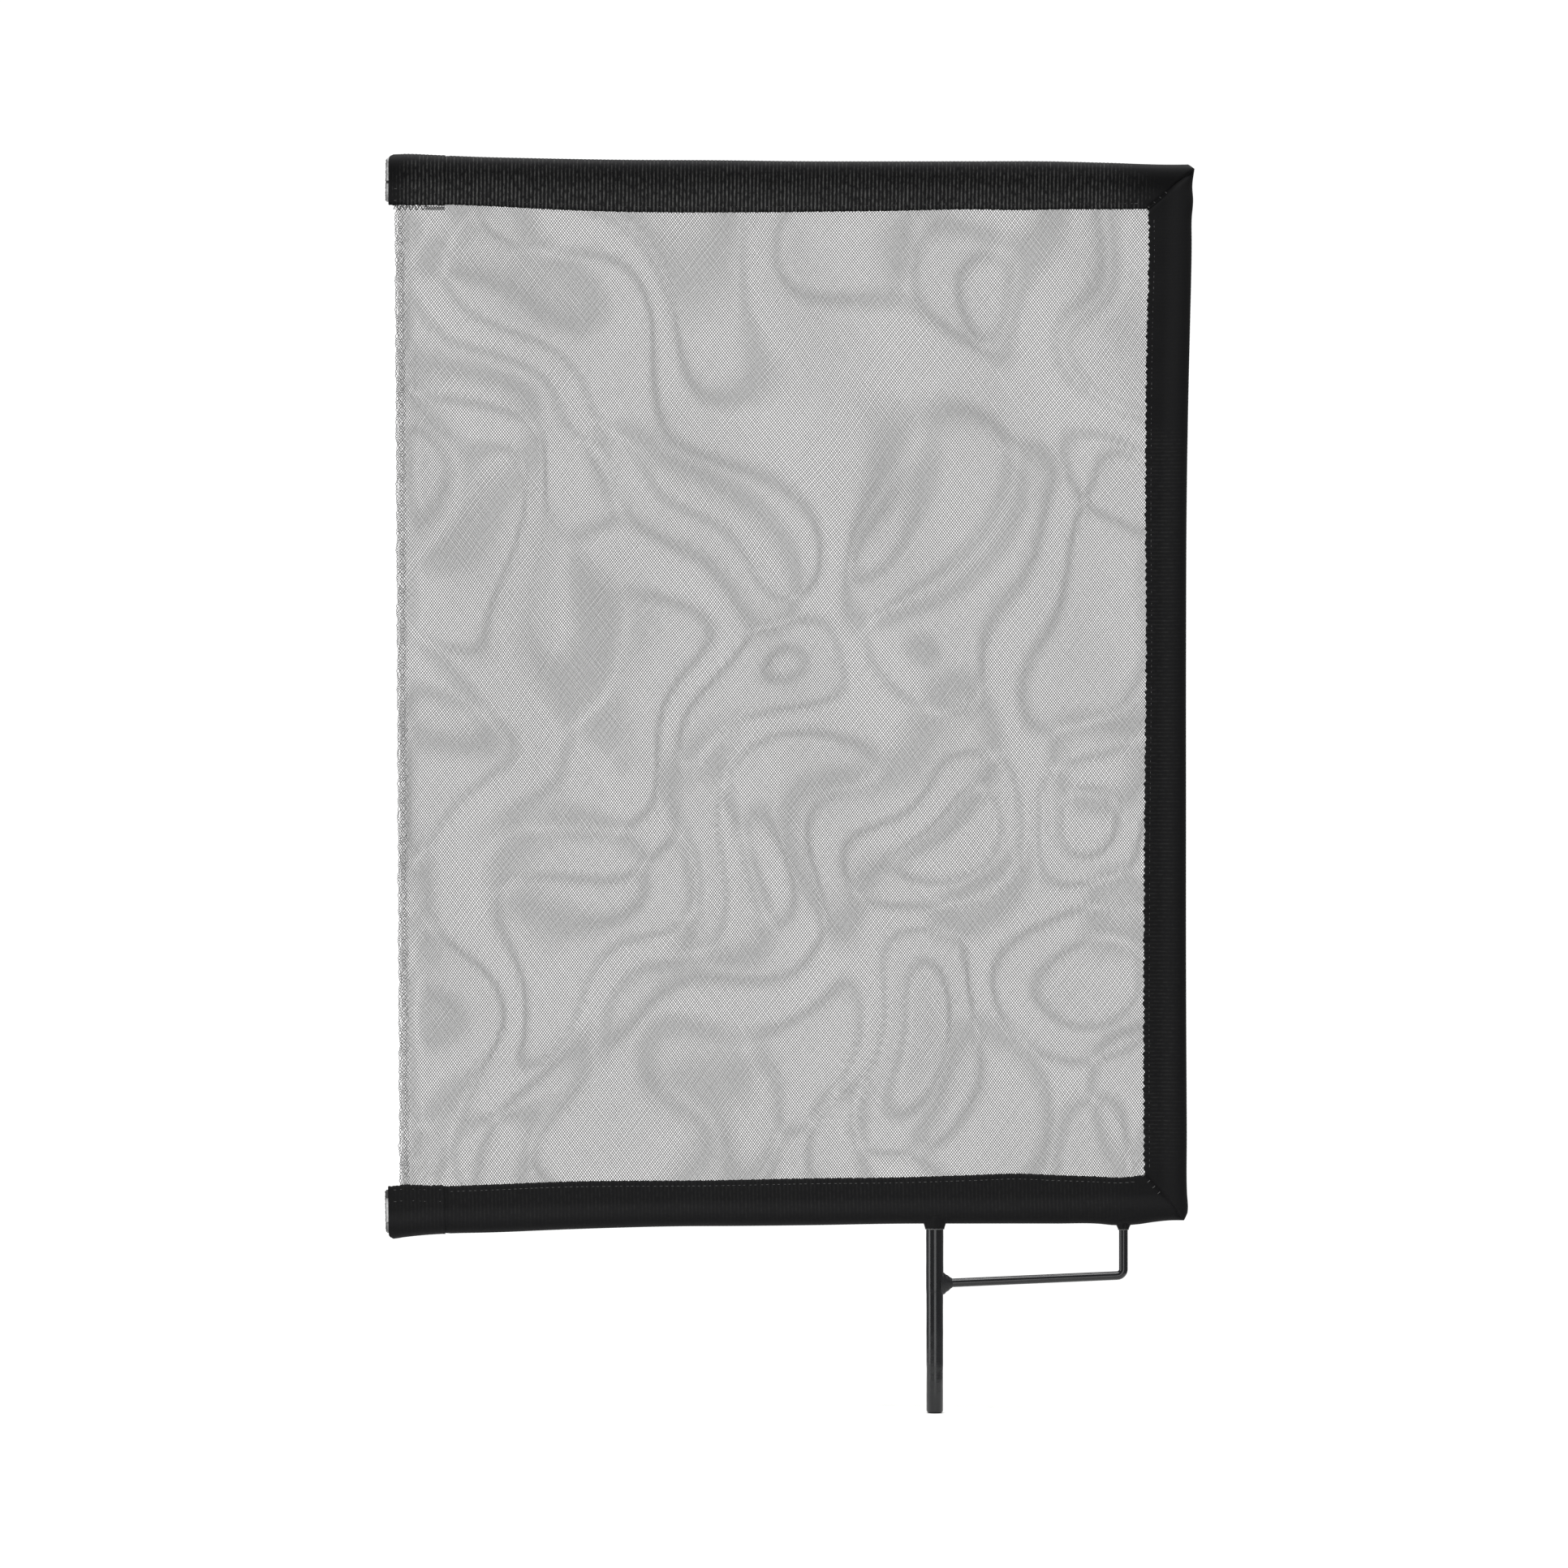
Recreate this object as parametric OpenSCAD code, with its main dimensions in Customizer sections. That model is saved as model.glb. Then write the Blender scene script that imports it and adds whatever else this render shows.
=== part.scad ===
// Open-end double net on a C-shaped rod frame, for taming the light of a lamp.
// Millimetres. +Z is up, +X points at the closed side bar, the front faces -Y.
// The origin is on the mounting pin's axis, half way along its free shank.

/* [Frame] */
// Width from the arms' open ends to the outside of the side bar
outer_w = 457; // [400:1:500]
// Height at the side bar, outside the tape
outer_h = 601; // [560:1:640]
// Diameter of the frame rod
rod_d = 7.94; // [6.4:0.01:9.6]
// How far the top arm rises towards its open end, in degrees
top_splay = 0.71; // [0:0.01:1.5]
// How far the bottom arm drops towards its open end, in degrees
bottom_splay = 1.24; // [0:0.01:2]
// How far the side bar leans outwards at the top, in degrees
side_lean = 0.23; // [0:0.01:0.5]
// Gap left for a mitre weld, half on each side
mitre_half = 0.8; // [0.5:0.1:1.5]

/* [Mounting pin] */
// Diameter of the free shank that a grip head holds
pin_d = 9.525; // [9:0.005:10]
// Diameter of the painted shank above the brace
pin_upper_d = 9.86; // [9.84:0.01:10.4]
// Height of the free shank's top above the tip
grip_top = 67; // [55:1:67]
// Chamfer on the pin's tip
tip_chamfer = 1.5; // [0.5:0.1:2.5]
// Distance from the pin's axis to the outside of the side bar, at its foot
pin_to_side = 143.9; // [120:0.1:160]
// Height of the bottom right corner's outside above the pin's tip
frame_rise = 110.1; // [109:0.1:125]

/* [Brace] */
// Diameter of the brace rod
brace_d = 5; // [4:0.1:6]
// Distance from the pin's axis to the brace's upright leg
brace_reach = 107.5; // [70:0.5:115]
// Height where the long leg's axis meets the pin's axis, above the tip
brace_foot = 73.7; // [73:0.1:76]
// How far the long leg rises away from the pin, in degrees
brace_rise = 2.53; // [0:0.01:3]
// Radius of the bend, on the rod's centre line
bend_r = 3.7; // [3:0.1:8]

/* [Binding tape] */
// Thickness of the tape
tape_t = 0.9; // [0.6:0.1:1.2]
// Width of the folded tape on the two arms
arm_tape_w = 27.2; // [24:0.1:32]
// Width of the folded tape on the side bar
side_tape_w = 24.6; // [22:0.1:30]
// Length of the tape that is folded back at each open end
tab_len = 32; // [20:1:45]
// How much further in the folded-back tape reaches
tab_step = 1.6; // [0.5:0.1:3]

/* [Net] */
// Thickness of one layer of net
net_t = 0.4; // [0.2:0.05:0.45]
// Width of the hem along the open edge
hem_w = 6.5; // [4:0.1:10]
// Distance from the arms' ends to the top of the hem
hem_inset = 2.8; // [2:0.1:6]
// How far the hem leans in at its foot, in degrees
hem_lean = 0.28; // [0:0.01:0.5]

/* [Hidden] */
$fn = 96;

steel = "#2b2c2e";
bare_weld = "#3a3b3d";
tape_black = "#222222";
tape_end_grey = "#77787a";
net_grey = "#8f8f8c";
thread_black = "#161616";
far = 120;

rod_r = rod_d / 2;
pin_r = pin_d / 2;
pin_upper_r = pin_upper_d / 2;
brace_r = brace_d / 2;
rod_gap = 0.13;
bore_r = rod_r + rod_gap;
sleeve_r = bore_r + tape_t;
slot_half = 0.6;
flap_half = slot_half + tape_t;
slot_top = bore_r + 1;
taper_len = 12;
fold_gap = 0.15;
weld_gap = 0.03;

// the free shank's middle is the origin, so everything above the tip is set down by this much
tip_z = -(tip_chamfer + grip_top) / 2;

// the rods' centre lines meet at these corners, [x, z] above the pin's tip
corner_bottom = [pin_to_side - sleeve_r, frame_rise + sleeve_r];
side_len = outer_h - 2 * sleeve_r;
corner_top = corner_bottom + side_len * [sin(side_lean), cos(side_lean)];
open_x = corner_top[0] + sleeve_r - outer_w;
top_len = (corner_top[0] - open_x) / cos(top_splay);
bottom_len = (corner_bottom[0] - open_x) / cos(bottom_splay);
rod_end_inset = 4;
overrun = 5;

// height of the bottom rod's centre line at a distance x from the pin's axis
function bottom_rod_z(x) = corner_bottom[1] - (corner_bottom[0] - x) * tan(bottom_splay);
function top_rod_z(x) = corner_top[1] + (corner_top[0] - x) * tan(top_splay);

// the bend's centre, between the long leg below it and the upright leg beside it
bend_turn = 90 - brace_rise;
bend_lap = 1;
bend_draw = 0.02;
bend_x = brace_reach - bend_r;
bend_z = brace_foot + bend_x * tan(brace_rise) + bend_r / cos(brace_rise);

// how far the fold is trimmed back at the outside of a corner
corner_flat = 4.2;
// where the flaps leave the round over the rod, as shares of its radius
shoulder_share = [0.9, 0.3];

// gathered mouths of the tape and fillet welds, each with its wide and its narrow radius
flare_drop = 8.6;
pin_flare = [7.2, 5.8];
brace_flare = [5.2, 3.5];
pin_bead = [6.3, 5.05];
brace_bead = [4.2, 2.65];
bead_drop = 8.1;
bead_clear = [0.2, 0.15];
flare_lap = 0.01;

// the weld between the pin and the brace: a cone with its sides cut flat
gusset_len = 9.6;
gusset_r = 9;
gusset_rim = 0.25;
gusset_half = [4.2, 6.2];

// sewing thread
thread_w = 0.5;
thread_h = 0.25;
thread_inset = 3;
thread_lift = 0.05;
thread_margin = 1;
tab_margin = 2;
tab_t = 0.8;
tab_gap = 0.06;
tab_row_gap = 7;
seam_start = 29.5;
seam_len = 10;
seam_gap = 0.6;
whip_r = 0.28;
whip_out = 0.5;
whip_drop = 0.35;

// the tape's cut end at an arm's open end
strip_t = 1.8;
strip_gap = 0.1;
strip_half = 1.2;
strip_out = 3.4;
strip_in = 21.8;

// net outline, [x, z] above the tip: the hem's slot, and the slots in the three tapes
net_tuck = 13;
net_half_gap = 0.12;
hem_x_top = open_x + hem_inset;
hem_wall = 0.3;
hem_spine = 0.8;
hem_bite = 1;
hem_top_gap = 1;
hem_foot_gap = 1.6;
net_left_top = [
    hem_x_top + hem_bite,
    top_rod_z(hem_x_top) - arm_tape_w + sleeve_r + net_tuck
];
net_right_top = [
    corner_top[0] + sleeve_r - side_tape_w + net_tuck,
    corner_top[1] + sleeve_r - arm_tape_w + net_tuck
];
net_right_bottom = [
    corner_bottom[0] + sleeve_r - side_tape_w + net_tuck,
    corner_bottom[1] - sleeve_r + arm_tape_w - net_tuck
];
hem_foot_z = bottom_rod_z(hem_x_top) - sleeve_r + arm_tape_w;
hem_head_z = top_rod_z(hem_x_top) + sleeve_r - arm_tape_w;
hem_len = hem_head_z - hem_foot_z;
net_left_bottom = [
    hem_x_top + hem_bite + (hem_len + 2 * net_tuck) * sin(hem_lean),
    hem_foot_z - net_tuck
];

// sets a thing drawn in heights above the tip down onto the origin
module set_down() translate([0, 0, tip_z]) children();

// moves to a frame corner
module at(corner) translate([corner[0], 0, corner[1]]) children();

// along an arm: local -X runs to the open end, local -Z towards the window
module on_top_arm() set_down() at(corner_top) rotate([0, top_splay, 0]) children();
module on_bottom_arm() set_down() at(corner_bottom) rotate([0, -bottom_splay, 0])
    mirror([0, 0, 1]) children();
module on_side_bar() set_down() at(corner_bottom) rotate([0, side_lean, 0]) children();

// a rod along local X, from x0 to x1
module bar(r, x0, x1) translate([x0, 0, 0]) rotate([0, 90, 0])
    cylinder(h = x1 - x0, r = r);

// the space on one side of a corner's mitre; side 1 is the arm's, side -1 the side bar's
module mitre_side(side, clear) {
    z0 = side > 0 ? -far + clear : -clear;
    translate([-far / 2, -far / 4, z0]) cube([far, far / 2, far]);
}
module top_mitre(side, clear) set_down() at(corner_top) rotate([0, -45, 0])
    mitre_side(side, clear);
module bottom_mitre(side, clear) set_down() at(corner_bottom) rotate([0, -135, 0])
    mitre_side(side, clear);

// flattens the outside of a corner, where the tape's fold is trimmed
module corner_trim(corner, turn) {
    reach = 2 * sleeve_r - corner_flat;
    set_down() at(corner) rotate([0, turn, 0])
        translate([-far / 2, -far / 4, reach / sqrt(2)]) cube([far, far / 2, far]);
}

// folded tape, solid: round over the rod, then a flap down to the free edge, along local Z
module tape_solid(w, len, grow) {
    r = sleeve_r + grow;
    h = flap_half + grow;
    edge = -(w - sleeve_r);
    shoulder = [shoulder_share[0] * r, -shoulder_share[1] * r];
    cylinder(h = len, r = r);
    linear_extrude(height = len) polygon([
        shoulder, [h, -taper_len], [h, edge],
        [-h, edge], [-h, -taper_len], [-shoulder[0], shoulder[1]]
    ]);
}

// folded tape with the rod's room and the slot for the net cut out
module sleeve(w, len) difference() {
    tape_solid(w, len, 0);
    translate([0, 0, -1]) cylinder(h = len + 2, r = bore_r);
    translate([-slot_half, -w - 1, -1]) cube([2 * slot_half, w + 1 - slot_top, len + 2]);
}

// stands a length of tape along an arm, its flap towards the window
module along_arm(len) translate([-len, 0, 0]) rotate([90, 0, 90]) children();

// folded tape over an arm of length len
module arm_sleeve(len) along_arm(len) sleeve(arm_tape_w, len + far / 10);

// folded tape over the side bar
module side_sleeve() translate([0, 0, -far / 10]) rotate([0, 0, -90])
    sleeve(side_tape_w, side_len + far / 5);

// the tape's end, folded back over itself at the arm's open end
module tab(len) along_arm(len) difference() {
    tape_solid(arm_tape_w + tab_step, tab_len, tab_t);
    translate([0, 0, -1]) tape_solid(arm_tape_w + tab_step + 5, tab_len + 2, tab_gap);
}

// a cone standing on its narrow end, its wide end up at the rod's centre height
module flare(x, radii, drop) set_down() translate([x, 0, bottom_rod_z(x) - drop])
    cylinder(h = drop, r1 = radii[1], r2 = radii[0]);

// room inside the tape for a weld bead and for what it joins to the frame
module bead_room(x, bead, r) {
    flare(x, bead + bead_clear, flare_drop + flare_lap);
    set_down() translate([x, 0, bottom_rod_z(x) - far / 4])
        cylinder(h = far / 4, r = r + bead_clear[1]);
}

// fillet weld under the bottom rod
module frame_bead(x, bead, r) difference() {
    flare(x, bead, bead_drop);
    set_down() translate([x, 0, brace_foot]) cylinder(h = far, r = r + weld_gap);
    on_bottom_arm() bar(rod_r + weld_gap, -bottom_len - overrun, overrun);
}

// a sewing thread run along local X on both faces of the tape
module thread_run(x0, x1, z, half) for (side = [-1, 1])
    translate([x0, side * (half + thread_lift + thread_h / 2), z])
        translate([0, -thread_h / 2, -thread_w / 2]) cube([x1 - x0, thread_h, thread_w]);

module frame_rod_top() color(steel) difference() {
    on_top_arm() bar(rod_r, -top_len + rod_end_inset, far / 10);
    top_mitre(1, mitre_half);
}

module frame_rod_side() color(steel) difference() {
    on_side_bar() translate([0, 0, -far / 10]) cylinder(h = side_len + far / 5, r = rod_r);
    top_mitre(-1, mitre_half);
    bottom_mitre(-1, mitre_half);
}

module frame_rod_bottom() color(steel) difference() {
    on_bottom_arm() bar(rod_r, -bottom_len + rod_end_inset, far / 10);
    bottom_mitre(1, mitre_half);
}

// a rod's full stretch through a corner, a hair under the rods' own surface
module top_stub() on_top_arm() bar(rod_r - weld_gap, -far / 4, far / 4);
module bottom_stub() on_bottom_arm() bar(rod_r - weld_gap, -far / 4, far / 4);
module side_stub(z) on_side_bar() translate([0, 0, z - far / 4])
    cylinder(h = far / 2, r = rod_r - weld_gap);

// the thin slice between two mitred rods that a weld fills
module weld_slice(corner, turn) set_down() at(corner) rotate([0, turn, 0])
    translate([-far / 2, -far / 4, -mitre_half + weld_gap])
        cube([far, far / 2, 2 * (mitre_half - weld_gap)]);

// flush butt welds, ground down to the rods
module corner_weld_top() color(bare_weld) intersection() {
    top_stub();
    side_stub(side_len);
    weld_slice(corner_top, -45);
}
module corner_weld_bottom() color(bare_weld) intersection() {
    bottom_stub();
    side_stub(0);
    weld_slice(corner_bottom, -135);
}

module mounting_pin() color(steel) difference() {
    set_down() union() {
        cylinder(h = tip_chamfer, r1 = pin_r - tip_chamfer, r2 = pin_r);
        translate([0, 0, tip_chamfer]) cylinder(h = grip_top - tip_chamfer, r = pin_r);
        translate([0, 0, grip_top]) cylinder(h = bottom_rod_z(0) - grip_top, r = pin_upper_r);
    }
    on_bottom_arm() bar(rod_r + weld_gap, -bottom_len - overrun, overrun);
}

module pin_weld() color(bare_weld) frame_bead(0, pin_bead, pin_upper_r);

// long leg, bend and upright leg of one bent rod
module brace_rod() color(steel) difference() {
    set_down() union() {
        translate([0, 0, brace_foot]) rotate([0, 90 - brace_rise, 0])
            cylinder(h = bend_x / cos(brace_rise) + bend_r * tan(brace_rise), r = brace_r);
        translate([bend_x, 0, bend_z]) rotate([90, 0, 0]) rotate([0, 0, -bend_turn - bend_lap])
            rotate_extrude(angle = bend_turn + 2 * bend_lap)
                translate([bend_r, 0]) circle(r = brace_r - bend_draw);
        translate([brace_reach, 0, bend_z])
            cylinder(h = bottom_rod_z(brace_reach) - bend_z, r = brace_r);
    }
    set_down() cylinder(h = far, r = pin_upper_r + weld_gap);
    on_bottom_arm() bar(rod_r + weld_gap, -bottom_len - overrun, overrun);
}

// fillet weld all round the brace where it meets the pin
module brace_pin_weld() color(bare_weld) difference() {
    intersection() {
        set_down() translate([0, 0, brace_foot]) rotate([0, 90 - brace_rise, 0])
            cylinder(h = gusset_len, r1 = gusset_r, r2 = brace_r + gusset_rim);
        set_down() translate([0, -gusset_half[0], brace_foot - gusset_half[1]])
            cube([far, 2 * gusset_half[0], 2 * gusset_half[1]]);
    }
    set_down() cylinder(h = far, r = pin_upper_r + weld_gap);
    set_down() translate([0, 0, brace_foot]) rotate([0, 90 - brace_rise, 0])
        cylinder(h = far, r = brace_r + weld_gap);
}

module brace_frame_weld() color(bare_weld) frame_bead(brace_reach, brace_bead, brace_r);

module binding_top() color(tape_black) difference() {
    on_top_arm() arm_sleeve(top_len);
    top_mitre(1, fold_gap);
    corner_trim(corner_top, 45);
}

module binding_side() color(tape_black) difference() {
    on_side_bar() side_sleeve();
    top_mitre(-1, fold_gap);
    bottom_mitre(-1, fold_gap);
    corner_trim(corner_top, 45);
    corner_trim(corner_bottom, 135);
}

// the bottom tape is gathered round the pin and round the brace's upright leg
module binding_bottom() color(tape_black) difference() {
    union() {
        on_bottom_arm() arm_sleeve(bottom_len);
        difference() {
            union() {
                flare(0, pin_flare, flare_drop);
                flare(brace_reach, brace_flare, flare_drop);
            }
            on_bottom_arm() bar(bore_r, -bottom_len - overrun, overrun);
        }
    }
    bottom_mitre(1, fold_gap);
    corner_trim(corner_bottom, 135);
    bead_room(0, pin_bead, pin_upper_r);
    bead_room(brace_reach, brace_bead, brace_r);
}

module tape_tab_top() color(tape_black) on_top_arm() tab(top_len);
module tape_tab_bottom() color(tape_black) on_bottom_arm() tab(bottom_len);

// the sleeve's cut end, standing a little proud of the fold
module end_strip(len) color(tape_end_grey)
    translate([-len - strip_gap - strip_t, -strip_half, -strip_in])
        cube([strip_t, 2 * strip_half, strip_in + strip_out]);
module end_strip_top() on_top_arm() end_strip(top_len);
module end_strip_bottom() on_bottom_arm() end_strip(bottom_len);

// one layer of net, stretched between the hem and the three tapes
module net_layer(y) color(net_grey) set_down() translate([0, y + net_t / 2, 0])
    rotate([90, 0, 0]) linear_extrude(height = net_t)
        polygon([net_left_bottom, net_right_bottom, net_right_top, net_left_top]);
net_y = net_half_gap + net_t / 2;
module net_front() net_layer(-net_y);
module net_back() net_layer(net_y);

// narrow hem folded over both layers at the open edge
module on_hem() set_down() translate([hem_x_top, 0, hem_head_z]) rotate([0, -hem_lean, 0])
    children();
module open_edge_hem() color(net_grey) difference() {
    on_hem() translate([0, -slot_half - hem_wall, -hem_len + hem_foot_gap])
        cube([hem_w, 2 * (slot_half + hem_wall), hem_len - hem_top_gap - hem_foot_gap]);
    on_hem() translate([hem_spine, -slot_half, -hem_len - far / 10])
        cube([hem_w, 2 * slot_half, hem_len + far / 5]);
}

// lines of stitching that hold the net in the tapes
arm_flap = arm_tape_w - sleeve_r;
side_flap = side_tape_w - sleeve_r;
thread_y = flap_half + thread_lift + thread_h / 2;
module arm_thread(len) thread_run(
    -len + tab_len + thread_margin, -side_flap - thread_margin,
    -arm_flap + thread_inset, flap_half
);
module stitching_top() color(thread_black) on_top_arm() arm_thread(top_len);
module stitching_bottom() color(thread_black) on_bottom_arm() arm_thread(bottom_len);
module stitching_side() color(thread_black) on_side_bar() for (side = [-1, 1])
    translate([-side_flap + thread_inset, side * thread_y, arm_flap + thread_margin])
        translate([-thread_w / 2, -thread_h / 2, 0])
            cube([thread_w, thread_h, side_len - 2 * (arm_flap + thread_margin)]);

// two rows across each folded-back tape end
module tab_thread(len) for (row = [0, 1]) thread_run(
    -len + tab_margin, -len + tab_len - tab_margin,
    -arm_flap + thread_inset - tab_step + row * tab_row_gap, flap_half + tab_t
);
module tab_stitching_top() color(thread_black) on_top_arm() tab_thread(top_len);
module tab_stitching_bottom() color(thread_black) on_bottom_arm() tab_thread(bottom_len);

// a thread beside a mitre fold, on both faces, from the window's corner outwards
module mitre_thread(corner, turn, lift) color(thread_black)
    set_down() at(corner) rotate([0, turn, 0]) for (side = [-1, 1])
        translate([-seam_start, side * thread_y - thread_h / 2, lift])
            cube([seam_len, thread_h, thread_w]);
module mitre_seam_top() mitre_thread(corner_top, -45, seam_gap);
module mitre_seam_bottom() mitre_thread(corner_bottom, 45, -seam_gap - thread_w);

// a whipped ring of thread at the mouth of each opening in the tape
module opening_seam(x, r) color(thread_black) set_down()
    translate([x, 0, bottom_rod_z(x) - flare_drop - whip_drop])
        rotate_extrude() translate([r + whip_out, 0]) circle(r = whip_r);
module pin_opening_seam() opening_seam(0, pin_upper_r);
module brace_opening_seam() opening_seam(brace_reach, brace_r);

frame_rod_top();
frame_rod_side();
frame_rod_bottom();
corner_weld_top();
corner_weld_bottom();
mounting_pin();
pin_weld();
brace_rod();
brace_pin_weld();
brace_frame_weld();
binding_top();
binding_side();
binding_bottom();
tape_tab_top();
tape_tab_bottom();
end_strip_top();
end_strip_bottom();
net_front();
net_back();
open_edge_hem();
stitching_top();
stitching_side();
stitching_bottom();
tab_stitching_top();
tab_stitching_bottom();
mitre_seam_top();
mitre_seam_bottom();
pin_opening_seam();
brace_opening_seam();
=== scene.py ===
import math

import bpy
import numpy as np
from bpy.props import FloatProperty, FloatVectorProperty, IntProperty, PointerProperty
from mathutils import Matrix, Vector


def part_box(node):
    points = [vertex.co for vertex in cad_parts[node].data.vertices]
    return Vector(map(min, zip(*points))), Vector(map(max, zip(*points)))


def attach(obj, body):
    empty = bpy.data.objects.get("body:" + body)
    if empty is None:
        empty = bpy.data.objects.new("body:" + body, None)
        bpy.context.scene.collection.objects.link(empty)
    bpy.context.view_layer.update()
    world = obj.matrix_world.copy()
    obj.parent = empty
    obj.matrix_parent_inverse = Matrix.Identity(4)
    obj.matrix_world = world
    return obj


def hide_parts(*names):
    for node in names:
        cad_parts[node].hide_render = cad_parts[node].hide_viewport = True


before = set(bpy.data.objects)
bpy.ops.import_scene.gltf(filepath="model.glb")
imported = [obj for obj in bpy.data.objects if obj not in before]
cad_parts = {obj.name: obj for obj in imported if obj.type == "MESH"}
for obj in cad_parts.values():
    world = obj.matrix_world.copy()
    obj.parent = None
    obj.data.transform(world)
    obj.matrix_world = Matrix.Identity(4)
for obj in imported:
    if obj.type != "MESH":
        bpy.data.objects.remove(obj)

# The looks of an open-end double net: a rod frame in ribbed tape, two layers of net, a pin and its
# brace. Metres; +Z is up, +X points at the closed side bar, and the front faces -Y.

bl_info = {
    "name": "Open-end double net",
    "version": (1, 0, 0),
    "blender": (4, 5, 0),
    "location": "3D View > Sidebar > Net",
    "description": "Builds the tape, net, pin and brace of an open-end net on a rod frame",
    "category": "Object",
}

MM = 0.001


# ---------------------------------------------------------------- colours and settings

def linear(hex_colour):
    """An sRGB hex colour as linear red, green and blue: the sRGB curve undone, channel by channel."""
    code = hex_colour.lstrip("#")
    channels = np.array([int(code[i:i + 2], 16) for i in (0, 2, 4)]) / 255
    low, high = channels / 12.92, ((channels + 0.055) / 1.055) ** 2.4
    return tuple(float(c) for c in np.where(channels <= 0.04045, low, high))


def rgba(colour):
    return (*colour, 1.0)


def length_prop(name, description, default_mm):
    """A length in millimetres, held in metres."""
    return FloatProperty(name=name, description=description, default=default_mm * MM,
                         unit="LENGTH", subtype="DISTANCE", precision=5)


def colour_prop(name, description, hex_colour):
    return FloatVectorProperty(name=name, description=description, size=3, min=0.0, max=1.0,
                               default=linear(hex_colour), subtype="COLOR")


class TapeSettings(bpy.types.PropertyGroup):
    """The binding tape, its folded ends and its stitching."""
    thickness: length_prop("Thickness", "Thickness of the tape", 0.9)
    fold_radius: length_prop("Fold radius", "Outer radius where the tape turns over the rod", 5.0)
    flap_half: length_prop("Flap", "Half the thickness of the two flaps at their free edge", 1.5)
    rib_pitch: length_prop("Rib spacing", "Distance from one cross rib to the next", 2.19)
    rib_height: length_prop("Rib height", "How far a rib stands above the weave", 0.16)
    tab_length: length_prop("Folded end", "Length of the tape folded back at an open end", 32.0)
    tab_thickness: length_prop("Folded end, thickness", "How far the folded end stands proud", 0.45)
    stitch_length: length_prop("Stitch", "Length of one stitch", 3.2)
    thread_radius: length_prop("Thread", "Half the width of the sewing thread", 0.2)
    colour: colour_prop("Tape", "Colour of the black tape", "#151516")
    # painted highlight: the crest colour stands in for the light that the ribs' crests catch
    rib_sheen_colour: colour_prop("Rib", "Colour on the crest of a rib", "#5e5e5d")
    end_colour: colour_prop("Cut end", "Colour of the tape's cut end", "#f2f2f2")
    thread_colour: colour_prop("Thread", "Colour of the sewing thread", "#0b0b0c")


class NetSettings(bpy.types.PropertyGroup):
    """The two layers of net and the hem at their open edge."""
    cell_width: length_prop("Cell width", "Width of one lozenge of the mesh", 2.96)
    cell_height: length_prop("Cell height", "Height of one lozenge of the mesh", 3.95)
    thread_width: length_prop("Thread width", "Width of one flat thread of the mesh", 0.48)
    thread_height: length_prop("Thread height", "Thickness of one thread of the mesh", 0.12)
    pairing: FloatProperty(name="Pairing", default=0.475,
                           description="Where the second thread of each pair lies in the gap")
    jitter: length_prop("Jitter", "How far a thread strays from its line", 0.045)
    layer_gap: length_prop("Gap", "Distance between the two layers", 0.27)
    stretch: length_prop("Unevenness", "How far the mesh is pulled out of true", 0.6)
    lag: length_prop("Lag", "How far the back layer's threads lie beside the front layer's", 0.04)
    slips: FloatProperty(name="Slips", default=0.85,
                         description="How often the back layer slips by half a cell")
    slip_width: FloatProperty(name="Slip width", default=0.26,
                              description="Half the share of a level that one slip takes")
    curl: length_prop("Curl", "How far the lines of the slips are bent into hooks", 16.0)
    billow: length_prop("Billow", "How far the net stands in and out of flat", 0.35)
    ring_step: length_prop("Step", "Distance between the cross-sections of a thread", 6.8)
    tuck: length_prop("Tuck", "How far the net runs in under the tape", 6.0)
    seed: IntProperty(name="Seed", description="Picks the pattern of unevenness", default=327)
    colour: colour_prop("Net thread", "Colour of the net's thread", "#353431")
    light_colour: colour_prop("Net thread, lighter", "Colour of the net where the dye is thinner", "#42413d")
    hem_colour: colour_prop("Hem thread", "Colour of the hem's thread", "#2c2c2d")
    hem_light_colour: colour_prop("Hem thread, lighter", "Colour of the hem's worn thread", "#4a4a4b")


class MetalSettings(bpy.types.PropertyGroup):
    """The rods, the pin and the brace."""
    rod_radius: length_prop("Frame rod", "Radius of the frame rods", 3.97)
    pin_radius: length_prop("Pin", "Radius of the pin's free shank", 4.7625)
    pin_upper_radius: length_prop("Pin, upper", "Radius of the pin above the brace", 4.93)
    pin_tip: length_prop("Tip", "Height of the pin's rounded tip", 1.7)
    brace_radius: length_prop("Brace", "Radius of the brace rod", 2.5)
    bend_radius: length_prop("Bend", "Radius of the brace's bend, on its centre line", 3.7)
    colour: colour_prop("Paint", "Colour of the black powder coat", "#0b0c0f")
    worn_colour: colour_prop("Worn paint", "Colour of the rubbed powder coat", "#17181b")


class StageSettings(bpy.types.PropertyGroup):
    """The floor, the lights and the camera."""
    view_width: length_prop("View width", "Width that the camera takes in at the object", 893.6)
    aim_left: length_prop("Aim", "How far left of the object's middle the camera looks", 2.5)
    distance: length_prop("Distance", "From the camera to the object", 4200.0)
    floor_radius: length_prop("Floor", "Radius of the round floor", 340.0)
    floor_colour: colour_prop("Floor", "Colour of the pale floor", "#f2f2f1")


# ---------------------------------------------------------------- meshes

def grid_faces(rows, columns, close_columns=False):
    """Four-cornered faces of a grid of points numbered row by row; the last column may join the first."""
    across = np.arange(columns if close_columns else columns - 1)
    base = (np.arange(rows - 1) * columns)[:, None]
    right = (across + 1) % columns
    return np.stack([base + across, base + right, base + columns + right, base + columns + across],
                    axis=-1).reshape(-1, 4)


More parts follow.
